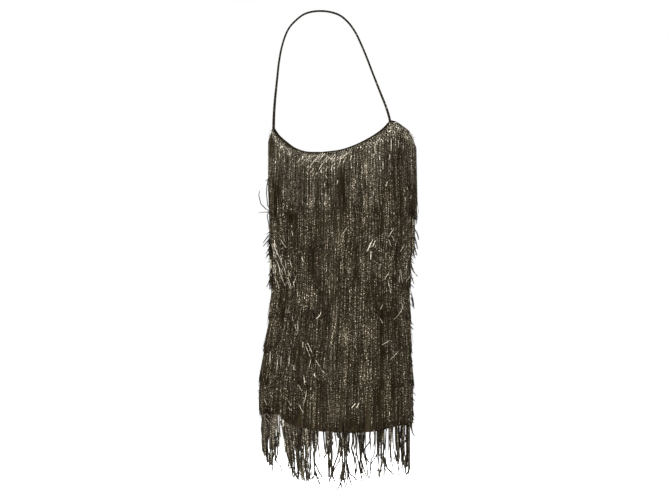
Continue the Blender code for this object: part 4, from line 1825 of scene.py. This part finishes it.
@dataclass
class LooseStrands:
    """Single strands that stand out from the tiers, laid one by one at the front and sides."""

    heavy_routes: tuple = (
        ((40, 478), (35.5, 503)), ((42, 480), (40, 493)), ((39, 501), (39, 518)),
        ((1.5, 620), (0.5, 627), (-2, 634)), ((-0.5, 741), (1, 748)), ((30, 797), (27, 806)),
        ((32.5, 796), (30.5, 806)), ((13.5, 364), (13, 372)), ((51.5, 365), (50.5, 375)),
    )
    fine_routes: tuple = (
        ((20, 455), (16.5, 469)), ((58, 456), (53, 474)), ((56.5, 471), (59.5, 481)),
        ((53.5, 478), (56.5, 491)), ((72.5, 486), (67.5, 502)), ((80.5, 388), (79, 396)),
        ((30.5, 517), (31.5, 522)), ((56, 543), (52, 557)), ((55.5, 560), (59, 583)),
        ((70, 538), (71, 550), (73.5, 563)), ((68.5, 550), (68.5, 563)), ((94, 544), (80, 560)),
        ((63, 538), (62.5, 547)), ((56.5, 511), (56, 516)), ((-9.5, 684), (-6, 700), (-4, 710)),
        ((-7.5, 681), (-3, 701)), ((-3.5, 713), (-4.5, 732)), ((0, 714), (4, 728)),
        ((5, 734), (7.5, 739)), ((-8, 744), (-6.5, 763)), ((-12, 763), (-8.5, 776)),
        ((-5, 773), (-5.5, 788), (-7.5, 806)), ((-10, 803), (-9, 811), (-7, 818)),
        ((-20.5, 796), (-17.5, 807)), ((-20, 810), (-18, 816)), ((0.5, 781), (-2, 791)),
        ((-18, 641), (-17, 660), (-18, 668)), ((-20.5, 646), (-19.5, 654)), ((-24, 630), (-22.5, 640)),
        ((-46, 704), (-43.5, 730)), ((-34.5, 718), (-34, 741)), ((-31, 711), (-30, 732)),
        ((-22, 708), (-22, 730)), ((-17, 725), (-17, 736)), ((-11.5, 680), (-11, 691)),
        ((-47.5, 801), (-44, 814)), ((-20.5, 583), (-19.5, 589)), ((51, 605), (48.5, 616)),
        ((48.5, 633), (51, 643)), ((72, 603), (74.5, 611), (71, 622), (62.5, 636)),
        ((58, 579), (59, 584)), ((68, 698), (57.5, 715)), ((58, 676), (50, 685)),
        ((76, 740), (73, 749)), ((-43.5, 518), (-41, 524)),
        ((-37.5, 514), (-39, 522), (-35, 534), (-33.5, 548)), ((-41.5, 528), (-41, 542)),
        ((-33.5, 518), (-32.5, 534)), ((-38.5, 493), (-35, 502)), ((-28, 518), (-25.5, 534)),
        ((-33, 552), (-29.5, 558), (-27, 574)), ((-34.5, 568), (-31, 562), (-27.5, 576), (-20.5, 546)),
        ((-25, 558), (-23.5, 574)), ((-46.5, 501), (-45, 515)), ((-49, 489), (-46.5, 497)),
        ((-30.5, 538), (-28, 550)), ((-40.5, 550), (-38, 566)), ((-46.5, 560), (-43, 575)),
        ((-45, 831), (-40.5, 837)), ((-47, 840), (-41, 848)), ((-15.5, 514), (-14.5, 522)),
        ((-25, 460), (-24, 470)),
    )
    neck_routes: tuple = (
        ((-3.5, 321), (-6, 327), (-8, 336), (-10, 343)), ((-9, 332), (-11, 338)),
        ((-12, 320), (-15.5, 329)), ((-12, 314), (-10.5, 321), (-7, 326)), ((-5, 339), (-8.5, 350)),
        ((3, 328), (1, 333), (-1, 343)), ((-2, 347), (-3.5, 353)), ((-4.5, 346), (-6, 354)),
        ((4, 313), (6.5, 319), (9, 324), (11, 328)),
        ((20, 310), (17.5, 318), (15, 323), (14.5, 330), (13, 340)), ((-3, 326), (-1.5, 326), (0, 328)),
        ((-11, 345), (-9.5, 351)), ((4, 353), (5.5, 360)), ((3.5, 369), (3.5, 377)),
        ((44.5, 282), (41.5, 293), (41.5, 313)), ((39.5, 312), (40, 320)), ((45, 315), (45, 324)),
        ((48, 326), (48, 344)), ((60, 257), (66.5, 262)), ((55.5, 280), (55.5, 305)),
        ((63, 282), (63, 298)), ((69, 291), (69, 298)), ((54, 311), (54, 322)), ((1.5, 339), (0, 348)),
        ((6, 336), (4, 345)), ((9.5, 334), (8, 344)), ((-17, 318), (-19.5, 326)),
        ((18.5, 321), (17, 332)), ((23.5, 315), (22, 327)), ((-28.5, 298), (-26.5, 311)),
        ((-38.5, 279), (-36.5, 292)),
    )
    threads: tuple = (
        ((-52.5, 419, 8), (-71, 411, 10), (-70.5, 408, 16), (-70.5, 401, 23), (-70.5, 390, 26),
        (-70.5, 381, 28), (-70.5, 371, 26)), ((-52.5, 418, 8), (-71, 416, 14), (-71, 417, 29)),
        ((-53.5, 352, 8), (-70.5, 350, 9), (-70.5, 363, 11), (-70.5, 374, 12), (-70.5, 387, 11),
         (-70.5, 402, 10), (-58.5, 410, 8)),
        ((-57, 417, 8), (-71, 419, 10), (-71, 426, 12), (-71, 433, 10), (-74.5, 447, 8), (-54, 459, 8)),
        ((-54.5, 346, 8), (-70.5, 346, 8), (-70.5, 351, 14)),
    )
    tufts: tuple = (
        ((-53, 454, 8), (-59, 461, 8), (-71.5, 469, 13), (-71.5, 481, 22)),
        ((-53, 462, 8), (-65, 471, 8), (-71.5, 481, 16), (-71.5, 488, 22)),
        ((-53.5, 468, 8), (-66, 479, 8), (-71.5, 489, 14)),
        ((-54, 476, 8), (-61.5, 488, 8), (-71.5, 496, 9)),
        ((-54.5, 488, 8), (-65, 498, 8), (-71.5, 510, 16)),
        ((-57, 534, 8), (-71.5, 544, 10), (-71.5, 550, 14)),
        ((-55.5, 550, 8), (-71.5, 561, 12), (-71.5, 574, 18)),
        ((-58, 542, 8), (-71.5, 555, 10), (-71.5, 563, 14)),
        ((99.5, 454, 8), (99.5, 464, 14), (100, 476, 18)),
        ((104.5, 464, 8), (100, 483, 14), (100, 495, 18)),
        ((92, 477, 8), (100, 493, 12), (100, 508, 18)),
        ((89.5, 483, 8), (100, 501, 10), (100, 515, 15)),
        ((107, 521, 8), (100, 537, 11), (100, 551, 22)),
        ((88.5, 534, 8), (100, 552, 10), (100, 567, 16)),
        ((113.5, 521, 8), (100, 534, 10), (100, 544, 15)),
        ((100, 585, 10), (100, 599, 14), (100, 618, 16)),
        ((100, 593, 10), (100, 604, 13), (100, 612, 14)), ((89, 848, 8), (98, 870, 9), (98, 878, 14)),
        ((88, 809, 8), (98.5, 827, 9), (98, 839, 12)),
        ((112.5, 798, 8), (98.5, 802, 8), (98.5, 807, 12)),
        ((105.5, 637, 8), (100, 647, 10), (100, 651, 14)),
        ((102.5, 653, 8), (100, 659, 12), (100, 660, 14)),
    )
    stations: int = 10
    sides: int = 4
    taper: float = 0.45
    heavy_radius: float = 0.00074
    fine_radius: float = 0.00046
    thread_radius: float = 0.00100
    tuft_radius: float = 0.00128
    body_lift: float = 0.0100
    neck_lift: float = 0.0072
    # Black strands just under the heavy and fine bright strands, a painted shadow beside each
    shadow_gap: float = 0.0016
    shadow_radius: float = 0.00150

    # Bands of hairs: an angle, two depths in millimetres, a count and a length
    hair_bands: tuple = (
        (-74.0, 350, 425, 6, 0.006), (-74.0, 450, 505, 22, 0.015), (-74.0, 500, 572, 24, 0.010),
        (-74.0, 600, 645, 6, 0.007), (-84.0, 735, 852, 34, 0.007), (107.0, 455, 585, 40, 0.012),
        (107.0, 600, 665, 14, 0.010), (107.0, 700, 785, 18, 0.008), (107.0, 785, 858, 20, 0.009),
    )
    hair_radius: float = 0.00088
    hair_taper: float = 0.35
    hair_half_angle: float = 11.0
    hair_lengths: tuple = (0.5, 1.25)
    hair_leans: tuple = (14.0, 52.0)
    hair_sway: float = 1.5
    hair_lift: float = 0.6
    hair_bends: tuple = (0.7, 1.6)

    # The fan, with the depths of its roots and its lengths in millimetres
    fan_strands: int = 24
    fan_angles: tuple = (-68.0, -40.0)
    fan_jitter: float = 2.0
    fan_depths: tuple = (474, 545)
    fan_lengths: tuple = (12, 34)
    fan_sweep: tuple = (1.0, 9.0)
    fan_layer: tuple = (-0.0004, 0.0012)
    fan_bright_radius: float = 0.00043
    fan_dark_radius: float = 0.00105

    # Strands over the back, whose turn and bend are in radians
    back_strands: int = 60
    back_angles: tuple = (112.0, 282.0)
    back_heights: tuple = (-0.80, -0.36)
    back_lengths: tuple = (0.008, 0.034)
    back_turn: float = 0.38
    back_bend: float = 0.30
    back_lifts: tuple = (0.0072, 0.0100)
    back_tip_lift: float = 0.002

    # Tones
    bright_tones: tuple = (0.35, 0.9)
    fan_tones: tuple = (0.2, 0.95)
    dark_tones: tuple = (0.0, 0.75)
    hair_tones: tuple = (0.0, 0.7)
    seed: int = 33

    def routes(self, *rows: tuple) -> tuple[np.ndarray, np.ndarray]:
        """Lays rows of routes.

        Args:
            rows: routes, a lift and a radius for each group.

        Returns:
            Paths by strand and station, and radii.
        """
        paths, radii = [], []
        taper = 1.0 - self.taper * np.abs(np.linspace(-1.0, 1.0, self.stations)) ** 3
        for routes, lift, radius in rows:
            for route in routes:
                paths.append(smooth_route(route, self.stations, lift))
                radii.append(radius * taper)
        return np.array(paths), np.array(radii)

    def back(self, rng: np.random.Generator) -> tuple[np.ndarray, np.ndarray]:
        """Scatters strands over the back.

        Args:
            rng: the source of their places.

        Returns:
            Paths by strand and station, and radii.
        """
        n = self.back_strands
        s = np.linspace(0.0, 1.0, self.stations)[None]
        roots = rng.uniform(*self.back_angles, n)
        tops = rng.uniform(*self.back_heights, n)
        length = rng.uniform(*self.back_lengths, n)
        turn = rng.normal(0.0, self.back_turn, n)[:, None]
        turn = turn + rng.normal(0.0, self.back_bend, n)[:, None] * s
        per_degree = FORM.metres_per_degree(roots, tops)
        heights = tops[:, None] - length[:, None] * s * np.cos(turn)
        angles = roots[:, None] + length[:, None] * s * np.sin(turn) / per_degree[:, None]
        lifts = rng.uniform(*self.back_lifts, n)[:, None] + self.back_tip_lift * s**2
        return FORM.points(angles, heights, lifts), np.full((n, self.stations), self.fine_radius)

    def hairs(self, rng: np.random.Generator) -> tuple[np.ndarray, np.ndarray]:
        """Scatters short frayed hairs that stand out at both sides.

        Args:
            rng: the source of their places.

        Returns:
            Paths by strand and station, and radii.
        """
        s = np.linspace(0.0, 1.0, self.stations)[None]
        paths = []
        for side, first, last, count, reach in self.hair_bands:
            roots = side + rng.uniform(-self.hair_half_angle, self.hair_half_angle, count)
            tops = -MM * rng.uniform(first, last, count)
            length = reach * rng.uniform(*self.hair_lengths, count)[:, None]
            lean = np.radians(rng.uniform(*self.hair_leans, count))[:, None]
            heights = tops[:, None] - length * np.cos(lean) * s
            angles = roots[:, None] + rng.normal(0.0, self.hair_sway, count)[:, None] * s
            bend = s ** rng.uniform(*self.hair_bends, (count, 1))
            lifts = self.hair_lift * self.body_lift + length * np.sin(lean) * bend
            paths.append(FORM.points(angles, heights, lifts))
        paths = np.concatenate(paths)
        taper = self.hair_radius * (1.0 - self.hair_taper * s**2)
        return paths, np.repeat(taper, len(paths), axis=0)

    def fan(self, rng: np.random.Generator) -> np.ndarray:
        """Lays a fan of strands that sweeps down and inwards at the wearer's right.

        Args:
            rng: the source of their places.

        Returns:
            Paths by strand and station.
        """
        n = self.fan_strands
        s = np.linspace(0.0, 1.0, self.stations)[None]
        roots = np.linspace(*self.fan_angles, n) + rng.normal(0.0, self.fan_jitter, n)
        depths = rng.uniform(*self.fan_depths, n)[:, None]
        heights = -MM * (depths + rng.uniform(*self.fan_lengths, n)[:, None] * s)
        angles = roots[:, None] + rng.uniform(*self.fan_sweep, n)[:, None] * s**1.2
        lifts = self.body_lift + rng.uniform(*self.fan_layer, n)[:, None] * np.ones_like(s)
        return FORM.points(angles, heights, lifts)

    def build(self, finishes: Finishes) -> list[bpy.types.Object]:
        """Builds the bright strands, and the dark frayed ones with the painted shadow strands under the
        bright ones.

        Args:
            finishes: the materials.

        Returns:
            The two pieces.
        """
        rng = np.random.default_rng(self.seed)
        template = StrandTemplate(self.stations, self.sides)
        front, thickness = self.routes(
            (self.heavy_routes, self.body_lift, self.heavy_radius),
            (self.fine_routes, self.body_lift, self.fine_radius),
            (self.neck_routes, self.neck_lift, self.fine_radius),
        )
        back, back_thickness = self.back(rng)
        ones = np.ones((self.fan_strands, self.stations))
        paths = np.concatenate([front, back, self.fan(rng)])
        thickness = np.concatenate([thickness, back_thickness, self.fan_bright_radius * ones])
        tones = rng.uniform(*self.bright_tones, len(paths))
        tones[: len(self.heavy_routes)] = 1.0
        tones[-self.fan_strands :] = rng.uniform(*self.fan_tones, self.fan_strands)
        bright = template.lay("bright_strands", paths, thickness, tones)
        dress_piece(bright, finishes.pale, Slot.FRINGE)
        # The dark piece: frayed threads, tufts, hairs and a fan, and the painted shadow strands under the
        # bright ones
        paths, thickness = self.routes(
            (self.threads, self.body_lift, self.thread_radius),
            (self.tufts, self.body_lift, self.tuft_radius),
            (self.heavy_routes, self.body_lift - self.shadow_gap, self.shadow_radius),
            (self.fine_routes, self.body_lift - self.shadow_gap, self.shadow_radius),
        )
        tones = rng.uniform(*self.dark_tones, len(paths))
        # The painted shadow strands are black
        tones[len(self.threads) + len(self.tufts) :] = 0.0
        hairs, hair_thickness = self.hairs(rng)
        paths = np.concatenate([paths, hairs, self.fan(rng)])
        thickness = np.concatenate([thickness, hair_thickness, self.fan_dark_radius * ones])
        tones = np.concatenate(
            [tones, rng.uniform(*self.hair_tones, len(hairs)), np.zeros(self.fan_strands)]
        )
        dark = template.lay("frayed_and_shadow_strands", paths, thickness, tones)
        dress_piece(dark, finishes.hem, Slot.FRINGE)
        return [bright, dark]


@dataclass(frozen=True)
class Lamp:
    """A soft area lamp that faces the dress.

    The azimuth is in degrees from the front, positive to +X, and the power is in watts.
    """

    name: str
    azimuth: float
    height: float
    distance: float
    size: float
    power: float
    glossy: bool = True


@dataclass
class Studio:
    """Pale floor, soft light and the photograph's camera."""

    camera_yaw: float = 20.0
    camera_distance: float = 1.75
    camera_side: float = -0.0130
    camera_height: float = -0.543
    focal_pixels: float = 837.7
    frame_width: float = 670.0
    horizon_below_middle: float = 22.5
    sensor: float = 36.0
    floor_height: float = -1.45
    floor_size: float = 60.0
    floor_color: tuple = (0.9, 0.9, 0.9, 1)
    floor_roughness: float = 0.9
    world_color: tuple = (0.05, 0.05, 0.05, 1)
    white: tuple = (1, 1, 1, 1)
    lamps: tuple = (
        Lamp("key", 14.0, -0.36, 2.4, 1.0, 145.0),
        Lamp("fill_right", 85.0, -0.3, 2.6, 1.4, 9.0),
        Lamp("side_right", 128.0, -0.3, 2.6, 1.4, 32.0, glossy=False),
        Lamp("fill_left", -75.0, -0.3, 2.6, 1.4, 11.0),
        Lamp("back", 200.0, -0.2, 2.6, 1.2, 110.0, glossy=False),
    )

    def camera(self) -> None:
        """Adds the camera at the photograph's place."""
        yaw = math.radians(self.camera_yaw)
        data = bpy.data.cameras.new("camera")
        data.sensor_width = self.sensor
        data.lens = self.focal_pixels * self.sensor / self.frame_width
        data.shift_y = self.horizon_below_middle / self.frame_width
        camera = bpy.data.objects.new("camera", data)
        camera.location = (
            FORM.axis_x + self.camera_distance * math.sin(yaw) + self.camera_side * math.cos(yaw),
            FORM.axis_y - self.camera_distance * math.cos(yaw) + self.camera_side * math.sin(yaw),
            self.camera_height,
        )
        camera.rotation_euler = (math.pi / 2, 0.0, yaw)
        bpy.context.scene.collection.objects.link(camera)
        bpy.context.scene.camera = camera

    def light(self, lamp: Lamp) -> None:
        """Adds a lamp.

        Args:
            lamp: the lamp's place, size and power.
        """
        turn = math.radians(lamp.azimuth)
        data = bpy.data.lights.new(lamp.name, "AREA")
        data.energy = lamp.power
        data.size = lamp.size
        light = bpy.data.objects.new(lamp.name, data)
        light.visible_glossy = lamp.glossy
        light.location = (
            FORM.axis_x + lamp.distance * math.sin(turn),
            FORM.axis_y - lamp.distance * math.cos(turn),
            lamp.height,
        )
        aim = np.array([FORM.axis_x, FORM.axis_y, self.camera_height]) - np.array(light.location)
        flat = math.hypot(aim[0], aim[1])
        light.rotation_euler = (
            math.pi / 2 + math.atan2(aim[2], flat),
            0.0,
            math.atan2(aim[1], aim[0]) - math.pi / 2,
        )
        bpy.context.scene.collection.objects.link(light)

    def backdrop(self) -> None:
        """Adds the pale floor and the white surroundings."""
        deselect()
        bpy.ops.mesh.primitive_plane_add(size=self.floor_size, location=(0, 0, self.floor_height))
        floor = bpy.context.object
        floor.name = "floor"
        material, _, shader = new_material("pale_floor")
        shader.inputs["Base Color"].default_value = self.floor_color
        shader.inputs["Roughness"].default_value = self.floor_roughness
        shader.inputs["Emission Color"].default_value = self.white
        shader.inputs["Emission Strength"].default_value = 1.0
        floor.data.materials.append(material)
        floor.visible_diffuse = False
        floor.visible_glossy = False
        world = bpy.data.worlds.new("studio")
        bpy.context.scene.world = world
        world.use_nodes = True
        sheet = NodeSheet(world.node_tree)
        path = sheet.add("ShaderNodeLightPath")
        shade = sheet.mix(path.outputs["Is Camera Ray"], self.world_color, self.white)
        sheet.tree.links.new(shade, world.node_tree.nodes["Background"].inputs["Color"])

    def build(self) -> None:
        """Sets up the studio."""
        bpy.context.scene.view_settings.view_transform = "Standard"
        self.camera()
        for lamp in self.lamps:
            self.light(lamp)
        self.backdrop()


@dataclass
class FringeDress:
    """The whole dress."""

    first_header: float = -0.389
    header_pitch: float = 0.0665
    level_rows: int = 6
    last_profile: tuple = (
        (-180, 0.013), (-100, 0.013), (-75, 0.004), (-48, -0.002), (-34, -0.010), (-24, 0.000),
        (-10, 0.001), (-5, 0.017), (22, 0.018), (28, 0.013), (46, 0.013), (52, 0.016), (180, 0.013),
    )
    stand_offs: dict = field(
        default_factory=lambda: {
            1: (StandOff(105.0, 18.0, 0.0, 0.0025),), 2: (StandOff(-74.0, 14.0, 0.0, 0.003),),
        }
    )
    yoke_header: float = -0.318
    yoke_first: float = 20.0
    yoke_last: float = 122.0
    yoke_share: float = 0.28
    side_offs: tuple = (
        StandOff(108.0, 18.0, 0.0050, 0.0028), StandOff(-76.0, 16.0, 0.0030, -0.0022),
    )
    strands_per_row: int = 1050
    tier_seed: int = 100
    yoke_seed: int = 200
    top_seed: int = 300
    top_edge_share: float = 0.02

    def tiers(self, headers: list[float]) -> list[FringeTier]:
        """Lists the tiers from the first level row to the top edge's.

        Args:
            headers: the level rows' heights.

        Returns:
            The tiers in their order of building.
        """
        rows = [
            FringeTier(
                name=f"fringe_tier_{row}", node=f"fringe_row_{row}", header=header,
                strands=self.strands_per_row, seed=self.tier_seed + row,
                profile=self.last_profile if row == self.level_rows else (),
                stand_offs=self.stand_offs.get(row, ()),
            )
            for row, header in enumerate(headers, start=1)
        ]
        for side, sign in (("right", -1.0), ("left", 1.0)):
            first, last = sorted((sign * self.yoke_first, sign * self.yoke_last))
            rows.append(
                FringeTier(
                    name=f"fringe_yoke_{side}", node="fringe_edge", header=self.yoke_header,
                    strands=int(self.strands_per_row * self.yoke_share),
                    seed=self.yoke_seed + int(sign), first=first, last=last,
                    stand_offs=self.side_offs,
                )
            )
        rows.append(
            FringeTier(
                name="fringe_top", node="fringe_edge", header=None, strands=self.strands_per_row,
                seed=self.top_seed, bright=True, edge_share=self.top_edge_share,
                stand_offs=self.side_offs,
            )
        )
        return rows

    def build(self) -> list[bpy.types.Object]:
        """Builds every piece in order.

        Returns:
            The pieces.
        """
        finishes = Finishes()
        headers = [self.first_header - self.header_pitch * row for row in range(self.level_rows)]
        pieces = KnitPanels().build(finishes)
        pieces += HeaderTapes(tier_tops=tuple(headers)).build(finishes)
        pieces += Bindings().build(finishes)
        pieces.append(NeckCord().build(finishes))
        pieces += [tier.build(finishes) for tier in self.tiers(headers)]
        pieces.append(EdgeStitches().build(finishes))
        pieces += LooseStrands().build(finishes)
        pieces.append(HemFringe().build(finishes))
        return pieces


def main() -> None:
    """Builds the dress and its studio, and reports each piece."""
    logging.basicConfig(level=logging.INFO)
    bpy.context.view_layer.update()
    for piece in FringeDress().build():
        LOG.info("%s: %d faces", piece.name, len(piece.data.polygons))
    Studio().build()


if __name__ == "__main__":
    main()
